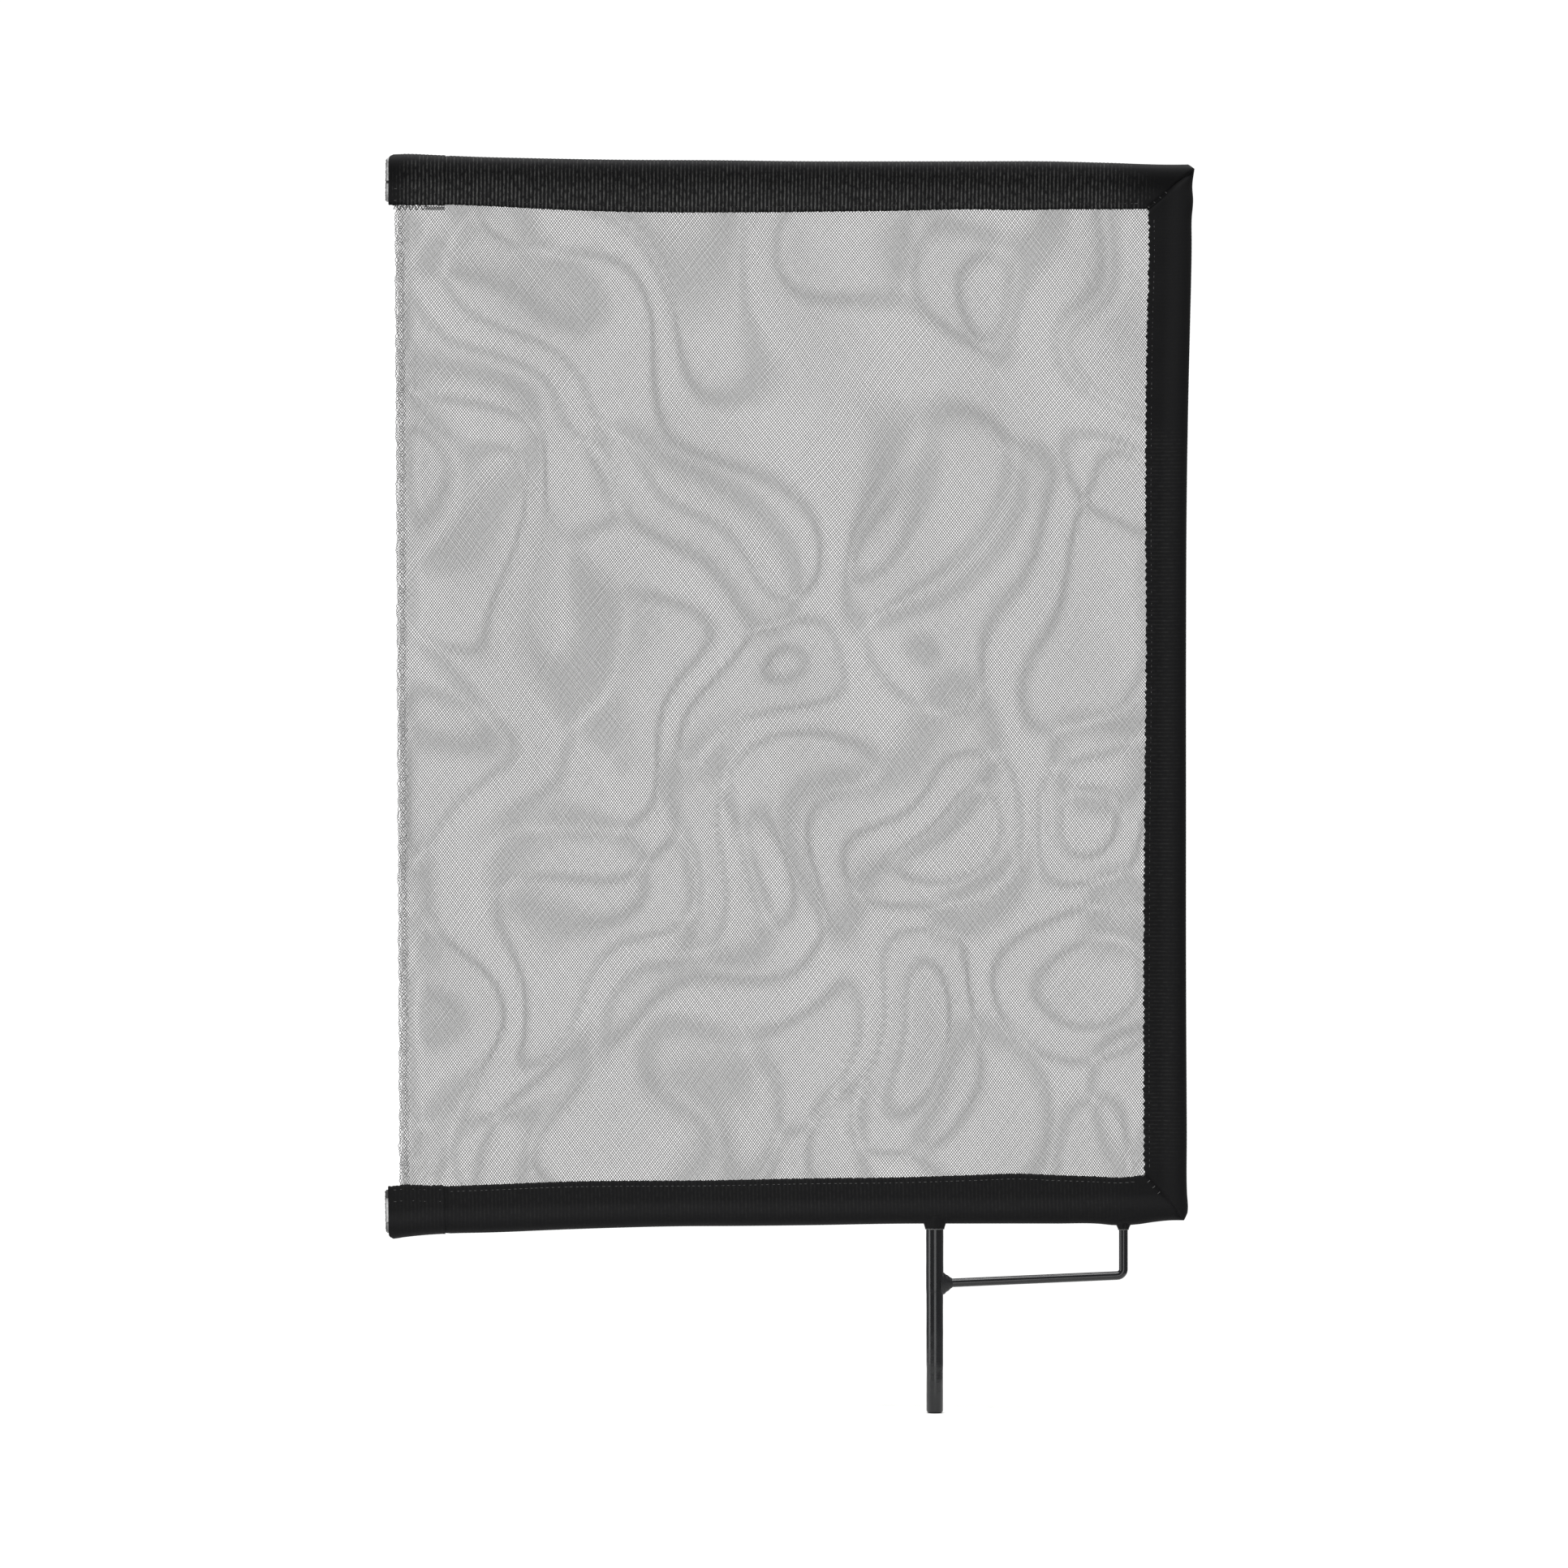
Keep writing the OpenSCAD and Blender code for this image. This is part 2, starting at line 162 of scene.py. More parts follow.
def signed_volume(points, faces):
    """Six times the volume inside the faces: each face's first corner dotted with the cross product
    of its next two, fan by fan. It is positive when the faces point outwards."""
    total = 0.0
    for block in faces:
        first = points[block[:, 0]]
        for k in range(1, block.shape[1] - 1):
            second, third = points[block[:, k]], points[block[:, k + 1]]
            total += float((first * np.cross(second, third)).sum())
    return total


def make_piece(name, points, faces, material, stands_for=(), uv=None, values=None):
    """A named piece from arrays: points in metres, blocks of faces with one corner count each, an
    optional UV for every point and optional named numbers for every point."""
    points = np.asarray(points, float).reshape(-1, 3)
    faces = [np.asarray(block, int) for block in faces]
    if signed_volume(points - points.mean(0), faces) < 0:
        faces = [block[:, ::-1] for block in faces]
    corners = np.concatenate([block.ravel() for block in faces])
    counts = np.concatenate([np.full(len(block), block.shape[1]) for block in faces])
    mesh = bpy.data.meshes.new(name)
    mesh.vertices.add(len(points))
    mesh.vertices.foreach_set("co", points.astype(np.float32).ravel())
    mesh.loops.add(len(corners))
    mesh.loops.foreach_set("vertex_index", corners.astype(np.int32))
    mesh.polygons.add(len(counts))
    mesh.polygons.foreach_set("loop_start", (np.cumsum(counts) - counts).astype(np.int32))
    mesh.update(calc_edges=True)
    mesh.polygons.foreach_set("use_smooth", np.ones(len(counts), bool))
    if uv is not None:
        layer = mesh.uv_layers.new(name="UVMap")
        layer.data.foreach_set("uv", np.asarray(uv, np.float32)[corners].ravel())
    for key, numbers in (values or {}).items():
        attribute = mesh.attributes.new(key, "FLOAT", "POINT")
        attribute.data.foreach_set("value", np.asarray(numbers, np.float32))
    mesh.materials.append(material)
    if mesh.validate():
        raise RuntimeError(f"{name}: the mesh had faults")
    made = bpy.data.objects.new(name, mesh)
    bpy.context.scene.collection.objects.link(made)
    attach(made, "root")
    if stands_for:
        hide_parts(*stands_for)
    return made


def joined(parts):
    """Several (points, face blocks) as one, each part's corner numbers moved on past the last."""
    points, faces, start = [], [], 0
    for part_points, part_faces in parts:
        part_points = np.asarray(part_points).reshape(-1, 3)
        points.append(part_points)
        faces.extend(np.asarray(block) + start for block in part_faces)
        start += len(part_points)
    return np.concatenate(points), faces


def node_points(node):
    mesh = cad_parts[node].data
    flat = np.zeros(len(mesh.vertices) * 3)
    mesh.vertices.foreach_get("co", flat)
    return flat.reshape(-1, 3)


def eased(places, values, at):
    """A smooth curve through a few (place, value) pairs: between two of them a cubic Hermite piece,
    whose slope at each pair is the slope between its neighbours."""
    places, values = np.asarray(places, float), np.asarray(values, float)
    slopes = np.gradient(values, places)
    at = np.clip(at, places[0], places[-1])
    i = np.clip(np.searchsorted(places, at, side="right") - 1, 0, len(places) - 2)
    span = places[i + 1] - places[i]
    t = (at - places[i]) / span
    return ((1 + 2 * t) * (1 - t) ** 2 * values[i] + t * (1 - t) ** 2 * span * slopes[i]
            + t * t * (3 - 2 * t) * values[i + 1] + t * t * (t - 1) * span * slopes[i + 1])


def ramp(at, start, end):
    """0 before start, 1 after end, and the smooth step 3t^2 - 2t^3 between."""
    t = np.clip((at - start) / (end - start), 0, 1)
    return t * t * (3 - 2 * t)


def ripple(at, wavelengths, seed):
    """A smooth uneven line between about -1 and 1: a sum of sines of the given wavelengths, each with
    a phase from the seed."""
    phases = np.random.default_rng(seed).uniform(0, 2 * math.pi, len(wavelengths))
    total = sum(np.sin(2 * math.pi * at / w + p) for w, p in zip(wavelengths, phases))
    return total / len(wavelengths) ** 0.5


# ---------------------------------------------------------------- where the rods run

class Arm:
    """One rod of the frame: along it from its corner by s, towards the window by n, in the XZ plane."""

    def __init__(self, corner, far_end, window):
        self.corner = np.asarray(corner, float)
        self.length = float(np.linalg.norm(np.asarray(far_end) - self.corner))
        self.along = (np.asarray(far_end) - self.corner) / self.length
        across = np.array([-self.along[1], self.along[0]])
        self.inward = across if across @ (np.asarray(window) - self.corner) > 0 else -across

    def place(self, s, n, y):
        """Points from distances: corner + s along + n inward, with y to the back."""
        s, n, y = np.broadcast_arrays(s, n, y)
        flat = self.corner + s[..., None] * self.along + n[..., None] * self.inward
        return np.stack([flat[..., 0], y, flat[..., 1]], axis=-1)


def rod_line(node, axis):
    """Both ends of a rod's centre line in the XZ plane: the middles of the boxes round its end rings."""
    points = node_points(node)
    middle = (points[:, axis].min() + points[:, axis].max()) / 2
    halves = points[points[:, axis] < middle], points[points[:, axis] >= middle]
    return [((half.min(0) + half.max(0)) / 2)[[0, 2]] for half in halves]


def crossing(line_a, line_b):
    """Where two lines in a plane cross: a + t (a2 - a), with t from the two equations solved."""
    (a, a2), (b, b2) = line_a, line_b
    t, _ = np.linalg.solve(np.stack([a2 - a, b - b2], axis=1), b - a)
    return a + t * (a2 - a)


def frame_arms():
    """The top arm, the side bar and the bottom arm, measured from the frame's own rods."""
    top, bottom = (rod_line(node, 0) for node in ("frame_rod_top", "frame_rod_bottom"))
    side = rod_line("frame_rod_side", 2)
    upper, lower = crossing(top, side), crossing(bottom, side)
    open_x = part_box("binding_top")[0][0]
    window = (upper + lower) / 2 + np.array([-0.2, 0.0])

    def at_open_end(corner, line):
        slope = (line[0][1] - corner[1]) / (line[0][0] - corner[0])
        return np.array([open_x, corner[1] + slope * (open_x - corner[0])])

    return {
        "top": Arm(upper, at_open_end(upper, top), window),
        "side": Arm(lower, upper, window),
        "bottom": Arm(lower, at_open_end(lower, bottom), window),
    }


ARMS = frame_arms()

# How each length of tape lies, in millimetres. "outer" and "inner" are (distance from the corner,
# distance from the straight rod line): the outline bows where the net's pull bends the rods, and
# swells at the pin, the brace and the mitres. "start" and "end" are the outlines of its two ends,
# as (distance from the rod line towards the window, distance from the corner).
TAPE_LINES = {
    "top": {
        "outer": [(-7, 5.5), (5, 5.2), (40, 5.65), (75, 6.1), (120, 5.6), (165, 5.0), (215, 4.45),
                  (265, 4.4), (325, 4.0), (370, 4.25), (400, 4.6), (425, 5.3), (442, 5.75), (452, 5.4)],
        "inner": [(15, 20.1), (35, 20.6), (70, 21.1), (95, 21.8), (120, 21.7), (165, 23.1), (210, 24.2),
                  (260, 25.2), (320, 25.55), (350, 25.0), (395, 23.3), (420, 22.7), (452, 22.8)],
        "start": [(-5.5, -2.9), (-2.45, -6.8), (20.1, 19.8)],
    },
    "side": {
        "outer": [(-5, 4.6), (1, 5.4), (10, 4.9), (45, 4.6), (135, 3.8), (230, 3.4), (320, 3.05),
                  (412, 3.15), (470, 3.9), (505, 4.6), (551, 5.35), (565, 5.3), (576, 6.1),
                  (584, 5.6), (594, 6.8)],
        "inner": [(15, 19.6), (45, 19.9), (135, 20.3), (228, 20.2), (320, 19.7), (412, 20.4),
                  (505, 19.9), (551, 19.0), (575, 19.6)],
        "start": [(-5.6, -0.4), (-2.95, -5.49), (19.7, 22.3)],
        "end": [(-6.8, 2.45), (19.7, -20.2)],
    },
    "bottom": {
        "outer": [(-3, 5.5), (5, 5.4), (14, 6.1), (23, 7.2), (37, 7.4), (46, 6.4), (70, 5.8), (92, 5.3),
                  (116, 4.8), (162, 3.9), (208, 3.7), (254, 3.2), (285, 2.7), (320, 2.75), (347, 3.05),
                  (393, 3.9), (416, 3.95), (430, 4.5), (441, 5.4), (448, 6.2), (452, 6.0)],
        "inner": [(15, 21.6), (23, 20.4), (32, 19.7), (46, 20.5), (70, 21.9), (92, 23.2), (116, 22.9),
                  (162, 22.5), (208, 23.0), (277, 23.2), (320, 24.0), (347, 24.2), (393, 23.4),
                  (430, 23.3), (440, 23.9), (452, 22.7)],
        "start": [(-5.5, -2.95), (21.8, 19.5)],
    },
}


def outline(side, which, s):
    """The tape's edge distance from the rod line at a distance s from the corner, in metres."""
    knots = np.array(TAPE_LINES[side][which])
    return eased(knots[:, 0], knots[:, 1], s / MM) * MM


def end_line(side, which, n):
    """Where the tape ends, as a distance from the corner, at a distance n from the rod line."""
    knots = np.array(TAPE_LINES[side][which])
    return np.interp(n / MM, knots[:, 0], knots[:, 1]) * MM


def rod_bow(side, s):
    """How far the rod is bent towards the window: what the tape's outer edge is short of the fold."""
    fold = bpy.context.scene.net_tape.fold_radius
    near = ramp(s, 0.0, 0.06) * (1 - ramp(s, 0.40, 0.452) if side != "side" else ramp(0.591 - s, 0.0, 0.06))
    return np.clip(fold - outline(side, "outer", s), 0, None) * near


# ---------------------------------------------------------------- tubes

def tube_rings(centres, across, up, half_width, half_height, sides):
    """Rings of points round a line: each centre plus cos a times half the width across, plus sin a
    times half the height up, for equal steps of the angle a."""
    angle = 2 * math.pi * np.arange(sides) / sides
    width = np.asarray(half_width)[..., None, None] if np.ndim(half_width) else half_width
    height = np.asarray(half_height)[..., None, None] if np.ndim(half_height) else half_height
    return (centres[..., None, :] + width * np.cos(angle)[:, None] * across[..., None, :]
            + height * np.sin(angle)[:, None] * up[..., None, :])


def tube_faces(rings, sides):
    """Faces of one closed tube: its rings joined in order, and each end closed by a fan of triangles on
    its own middle point. The two middles are numbered after the rings, the first ring's first."""
    ring = np.arange(sides)
    following, last = (ring + 1) % sides, (rings - 1) * sides
    start_cap = np.stack([np.full(sides, rings * sides), following, ring], axis=1)
    end_cap = np.stack([np.full(sides, rings * sides + 1), last + ring, last + following], axis=1)
    return [grid_faces(rings, sides, close_columns=True), start_cap, end_cap]


def flat_tube(centres, half_width, half_height, sides):
    """A closed tube along one line that lies mostly across the Y axis."""
    centres = np.asarray(centres, float)
    tangent = np.gradient(centres, axis=0)
    tangent /= np.linalg.norm(tangent, axis=1, keepdims=True)
    across = np.cross(tangent, np.array([0.0, 1.0, 0.0]))
    across /= np.linalg.norm(across, axis=1, keepdims=True)
    over = np.cross(across, tangent)
    rings = tube_rings(centres, across, over, half_width, half_height, sides)
    points = np.concatenate([rings.reshape(-1, 3), centres[[0, -1]]])
    return points, tube_faces(len(centres), sides)


def turned(heights, radii, centre_xy, sides=64, ripple_height=0.0):
    """A turned piece: at each height a circle of the given radius, (r cos a, r sin a, z), with both
    ends closed on the axis."""
    angle = 2 * math.pi * np.arange(sides) / sides
    heights, radii = np.asarray(heights, float), np.asarray(radii, float)
    r = radii[:, None] * (1 + ripple_height * np.sin(3 * angle + 40 * heights[:, None] / 0.01))
    rings = np.stack([centre_xy[0] + r * np.cos(angle), centre_xy[1] + r * np.sin(angle),
                      np.broadcast_to(heights[:, None], r.shape)], axis=-1)
    points = np.concatenate([rings.reshape(-1, 3),
                             [[*centre_xy, heights[0]], [*centre_xy, heights[-1]]]])
    return points, tube_faces(len(heights), sides)


# ---------------------------------------------------------------- materials

def add_node(tree, kind, inputs=None, steps=(), **settings):
    """Adds a node, sets its settings, and fills its inputs with values or with other nodes' outputs.
    A colour ramp takes its (position, colour) steps too."""
    made = tree.nodes.new(kind)
    for key, value in settings.items():
        setattr(made, key, value)
    for i, (position, colour) in enumerate(steps):
        element = made.color_ramp.elements[i] if i < 2 else made.color_ramp.elements.new(position)
        element.position, element.color = position, rgba(colour)
    for key, value in (inputs or {}).items():
        if isinstance(value, bpy.types.NodeSocket):
            tree.links.new(value, made.inputs[key])
        else:
            made.inputs[key].default_value = value
    return made


def new_material(name):
    """An empty node material with an output; returns the material, its tree and the output."""
    made = bpy.data.materials.new(name)
    made.use_nodes = True
    made.node_tree.nodes.clear()
    return made, made.node_tree, made.node_tree.nodes.new("ShaderNodeOutputMaterial")


def ribbed_tape_material(name, base, crest):
    """Polyester grosgrain, woven: a matt black with a painted highlight, a lighter colour on each cross rib's
    crest where it would catch the light, broken into patches of painted sheen and weaker over the rod as
    painted shade.
    The UV runs in millimetres along and across the tape, with 0 across at its outer edge."""
    pitch = bpy.context.scene.net_tape.rib_pitch / MM
    made, tree, output = new_material(name)
    place = add_node(tree, "ShaderNodeUVMap", uv_map="UVMap").outputs["UV"]
    ribs = add_node(tree, "ShaderNodeTexWave", {
        "Vector": place, "Scale": 2 * math.pi / (20 * pitch), "Distortion": 0.0, "Phase Offset": 0.0,
    }, wave_type="BANDS", bands_direction="X", wave_profile="SIN").outputs["Fac"]
    # painted sheen: each rib's painted highlight is lit in its own way, in stretches some 6 mm long
    stretched = add_node(tree, "ShaderNodeMapping", {
        "Vector": place, "Scale": (0.7, 0.3, 1.0),
    }).outputs[0]
    patches = add_node(tree, "ShaderNodeTexNoise", {
        "Vector": stretched, "Scale": 1.0, "Detail": 4.0, "Roughness": 0.7,
    }).outputs["Fac"]
    # painted sheen: these patches break up the crests' painted highlight
    wear_and_sheen = add_node(tree, "ShaderNodeMapRange", {
        "Value": patches, "From Min": 0.38, "From Max": 0.66, "To Min": 0.12, "To Max": 1.0,
    }).outputs["Result"]
    apart = add_node(tree, "ShaderNodeSeparateXYZ", {"Vector": place})
    from_rod = add_node(tree, "ShaderNodeMath", {0: apart.outputs["Y"]}, operation="ABSOLUTE").outputs[0]
    # painted shade: the crest's painted highlight is weaker over the rod, where the tape curves away from the
    # light
    flat = add_node(tree, "ShaderNodeMapRange", {
        "Value": from_rod, "From Min": 3.0, "From Max": 12.0, "To Min": 0.3, "To Max": 1.0,
    }).outputs["Result"]
    uneven = add_node(tree, "ShaderNodeMath", {0: wear_and_sheen, 1: flat}, operation="MULTIPLY").outputs[0]
    from_corner = add_node(tree, "ShaderNodeMapRange", {
        "Value": apart.outputs["X"], "From Min": 14.0, "From Max": 46.0, "To Min": 0.1, "To Max": 1.0,
    }).outputs["Result"]
    painted_sheen_mask = add_node(tree, "ShaderNodeMath", {0: uneven, 1: from_corner}, operation="MULTIPLY").outputs[0]
    to_end = add_node(tree, "ShaderNodeMapRange", {
        "Value": apart.outputs["X"], "From Min": 438.0, "From Max": 449.0, "To Min": 1.0, "To Max": 0.2,
    }).outputs["Result"]
    painted_sheen_mask = add_node(tree, "ShaderNodeMath", {0: painted_sheen_mask, 1: to_end}, operation="MULTIPLY").outputs[0]
    narrow = add_node(tree, "ShaderNodeMath", {0: ribs, 1: 2.0}, operation="POWER").outputs[0]
    lit = add_node(tree, "ShaderNodeMath", {0: narrow, 1: painted_sheen_mask}, operation="MULTIPLY").outputs[0]
    # painted highlight: where the mask is high the crest is coloured lighter, standing in for the light it
    # catches
    colour = add_node(tree, "ShaderNodeValToRGB", {"Fac": lit},
                      [(0.06, base), (0.8, crest)]).outputs["Color"]
    # warp threads run along the tape, 0.55 mm apart
    warp = add_node(tree, "ShaderNodeTexWave", {
        "Vector": place, "Scale": 2 * math.pi / (20 * 0.55), "Distortion": 1.5, "Detail": 1.0,
    }, wave_type="BANDS", bands_direction="Y", wave_profile="SIN").outputs["Fac"]
    grain = add_node(tree, "ShaderNodeBump", {"Height": warp, "Strength": 0.35, "Distance": 0.00012})
    cloth = add_node(tree, "ShaderNodeBsdfPrincipled", {
        "Base Color": colour, "Roughness": 0.85, "IOR": 1.5, "Specular IOR Level": 0.14,
        "Sheen Weight": 0.03, "Sheen Roughness": 0.5, "Normal": grain.outputs["Normal"],
    })
    tree.links.new(cloth.outputs["BSDF"], output.inputs["Surface"])
    return made


COAT_ROUGHNESS = 0.12


def powder_coat_material(name, base, worn):
    """Powder-coated steel, sprayed and baked: a satin black with a fine orange-peel skin 1.5 mm across
    and slightly greyer patches where it has been rubbed."""
    made, tree, output = new_material(name)
    place = add_node(tree, "ShaderNodeTexCoord").outputs["Object"]
    peel = add_node(tree, "ShaderNodeTexNoise", {
        "Vector": place, "Scale": 1 / 0.0015, "Detail": 2.0,
    }).outputs["Fac"]
    stretched = add_node(tree, "ShaderNodeMapping", {"Vector": place, "Scale": (1.0, 1.0, 0.22)}).outputs[0]
    wear_and_sheen = add_node(tree, "ShaderNodeTexNoise", {
        "Vector": stretched, "Scale": 1 / 0.006, "Detail": 5.0, "Roughness": 0.65,
    }).outputs["Fac"]
    colour = add_node(tree, "ShaderNodeValToRGB", {"Fac": wear_and_sheen},
                      [(0.42, base), (0.78, worn)]).outputs["Color"]
    shine = add_node(tree, "ShaderNodeMapRange", {
        "Value": wear_and_sheen, "From Min": 0.35, "From Max": 0.75,
        "To Min": COAT_ROUGHNESS, "To Max": COAT_ROUGHNESS + 0.08,
    }).outputs["Result"]
    skin = add_node(tree, "ShaderNodeBump", {"Height": peel, "Strength": 0.3, "Distance": 0.00006})
    paint = add_node(tree, "ShaderNodeBsdfPrincipled", {
        "Base Color": colour, "Roughness": shine, "IOR": 1.5, "Specular IOR Level": 0.5,
        "Normal": skin.outputs["Normal"],
    })
    tree.links.new(paint.outputs["BSDF"], output.inputs["Surface"])
    return made


def weld_material(name, base, worn):
    """A weld bead under powder coat: the same satin black over the bead's own ripples, with tiny pits."""
    made, tree, output = new_material(name)
    place = add_node(tree, "ShaderNodeTexCoord").outputs["Object"]
    pits = add_node(tree, "ShaderNodeTexVoronoi", {
        "Vector": place, "Scale": 1 / 0.0009,
    }).outputs["Distance"]
    cloud = add_node(tree, "ShaderNodeTexNoise", {
        "Vector": place, "Scale": 1 / 0.003, "Detail": 4.0,
    }).outputs["Fac"]
    colour = add_node(tree, "ShaderNodeValToRGB", {"Fac": cloud},
                      [(0.4, base), (0.75, worn)]).outputs["Color"]
    skin = add_node(tree, "ShaderNodeBump", {"Height": pits, "Strength": 0.4, "Distance": 0.0001})
    paint = add_node(tree, "ShaderNodeBsdfPrincipled", {
        "Base Color": colour, "Roughness": 0.45, "IOR": 1.5, "Specular IOR Level": 0.4,
        "Normal": skin.outputs["Normal"],
    })
    tree.links.new(paint.outputs["BSDF"], output.inputs["Surface"])
    return made


def thread_material(name, base, light):
    """Spun polyester thread: dull, with a twist that shows as fine light and dark flecks 0.4 mm long."""
    made, tree, output = new_material(name)
    place = add_node(tree, "ShaderNodeTexCoord").outputs["Object"]
    twist = add_node(tree, "ShaderNodeTexNoise", {
        "Vector": place, "Scale": 1 / 0.0008, "Detail": 2.0,
    }).outputs["Fac"]
    colour = add_node(tree, "ShaderNodeValToRGB", {"Fac": twist},
                      [(0.35, base), (0.7, light)]).outputs["Color"]
    lay = add_node(tree, "ShaderNodeBump", {"Height": twist, "Strength": 0.4, "Distance": 0.00005})
    fibre = add_node(tree, "ShaderNodeBsdfPrincipled", {
        "Base Color": colour, "Roughness": 0.8, "IOR": 1.5, "Specular IOR Level": 0.12,
        "Normal": lay.outputs["Normal"],
    })
    tree.links.new(fibre.outputs["BSDF"], output.inputs["Surface"])
    return made


def cut_end_material(name, base, light):
    """A cut and singed end of tape: bare pale weave where the piece's tone is high, black where it is
    low, with flecks 0.7 mm long."""
    made, tree, output = new_material(name)
    place = add_node(tree, "ShaderNodeTexCoord").outputs["Object"]
    flecks = add_node(tree, "ShaderNodeTexNoise", {
        "Vector": place, "Scale": 1 / 0.0014, "Detail": 3.0,
    }).outputs["Fac"]
    tone = add_node(tree, "ShaderNodeAttribute", attribute_name="tone").outputs["Fac"]
    worn = add_node(tree, "ShaderNodeMapRange", {
        "Value": flecks, "From Min": 0.3, "From Max": 0.6, "To Min": 0.6, "To Max": 1.0,
    }).outputs["Result"]
    bare = add_node(tree, "ShaderNodeMath", {0: tone, 1: worn}, operation="MULTIPLY").outputs[0]
    colour = add_node(tree, "ShaderNodeValToRGB", {"Fac": bare},
                      [(0.0, base), (0.9, light)]).outputs["Color"]
    weave = add_node(tree, "ShaderNodeBsdfPrincipled", {
        "Base Color": colour, "Roughness": 0.85, "IOR": 1.5, "Specular IOR Level": 0.15,
    })
    tree.links.new(weave.outputs["BSDF"], output.inputs["Surface"])
    return made


def net_material(name, base, light):
    """Nylon bobbinet thread: fine semi-clear filaments dyed dark, so light comes round and through
    them. Cloudy tint some 40 mm across, warmer where the thread lies thick."""
    made, tree, output = new_material(name)
    place = add_node(tree, "ShaderNodeTexCoord").outputs["Object"]
    cloud = add_node(tree, "ShaderNodeTexNoise", {
        "Vector": place, "Scale": 1 / 0.04, "Detail": 2.0,
    }).outputs["Fac"]
    colour = add_node(tree, "ShaderNodeValToRGB", {"Fac": cloud},
                      [(0.35, base), (0.7, light)]).outputs["Color"]
    fibre = add_node(tree, "ShaderNodeBsdfPrincipled", {
        "Base Color": colour, "Roughness": 0.7, "IOR": 1.5, "Specular IOR Level": 0.2, "Alpha": 0.275,
    })
    tree.links.new(fibre.outputs["BSDF"], output.inputs["Surface"])
    return made


# ---------------------------------------------------------------- tape

ARC_STEPS, FLAT_STEPS = 9, 15
MITRE_REACH = 30 * MM
TAPER = 9 * MM
PAST_ROD = 1 * MM
MITRE_LAP = 0.9 * MM
CREASE = 0.8 * MM
CREASE_WIDTH = 1.6 * MM
# where the lap at a mitre begins and is whole, as distances from the rod line
LAP_FROM, LAP_WHOLE = -2 * MM, 4 * MM
# the sleeve's outer corner at an open end is rounded off, over this stretch of its length
CORNER_ROUND, ROUND_REACH = 2.2 * MM, 8 * MM
# the sleeve narrows under its folded end between these distances from the arm's end
NARROW_FROM, NARROW_TO = 36 * MM, 30 * MM
# where each tape's ribs rise after its start, and where they fall before its end
RIB_FADES = {
    "top": ((24 * MM, 42 * MM), (9 * MM, 6 * MM)),
    "side": ((20 * MM, 34 * MM), (34 * MM, 20 * MM)),
    "bottom": ((24 * MM, 42 * MM), (9 * MM, 6 * MM)),
}


def fold_section(width, rod_at, grow, arc_radius, flap_half):
    """Half of the folded tape's section, as (m, h): m runs from the outer edge to the free edge and h
    is half the thickness. Round the rod it is m = R (1 - cos a) - grow, h = (R + grow) sin a, and from
    just past the rod's centre, at rod_at, h eases from R to the flaps' half thickness, plus grow."""
    a = np.linspace(0, math.pi / 2, ARC_STEPS)
    radius = arc_radius + grow
    shape = np.broadcast_shapes(np.shape(width), np.shape(grow))
    m_arc = np.broadcast_to(arc_radius - radius[..., None] * np.cos(a), (*shape, ARC_STEPS))
    h_arc = np.broadcast_to(radius[..., None] * np.sin(a), (*shape, ARC_STEPS))
    share = np.linspace(0, 1, FLAT_STEPS + 1)[1:]
    m_flat = arc_radius + share * (np.broadcast_to(width, shape)[..., None] - arc_radius)
    start = np.maximum(rod_at, arc_radius)[..., None] + PAST_ROD
    eased_half = flap_half + (arc_radius - flap_half) * (1 - ramp(m_flat, start, start + TAPER))
    h_flat = eased_half + np.broadcast_to(grow, shape)[..., None]
    return np.concatenate([m_arc, m_flat], -1), np.concatenate([h_arc, h_flat], -1)


def tape_wave(side, s, m):
    """How far the flaps stand off the middle plane: a slow uneven wave that starts past the rod."""
    return 0.22 * MM * ripple(s / MM, (83, 47, 29), 3 + len(side)) * ramp(m, 8 * MM, 20 * MM)


def rib_fade(side, s):
    """The share of their height that the ribs have: pressed flat beside a mitre and at an open end."""
    (rises, whole), (falls, flat) = RIB_FADES[side]
    length = ARMS[side].length
    return ramp(s, rises, whole) * (1 - ramp(s, length - falls, length - flat))


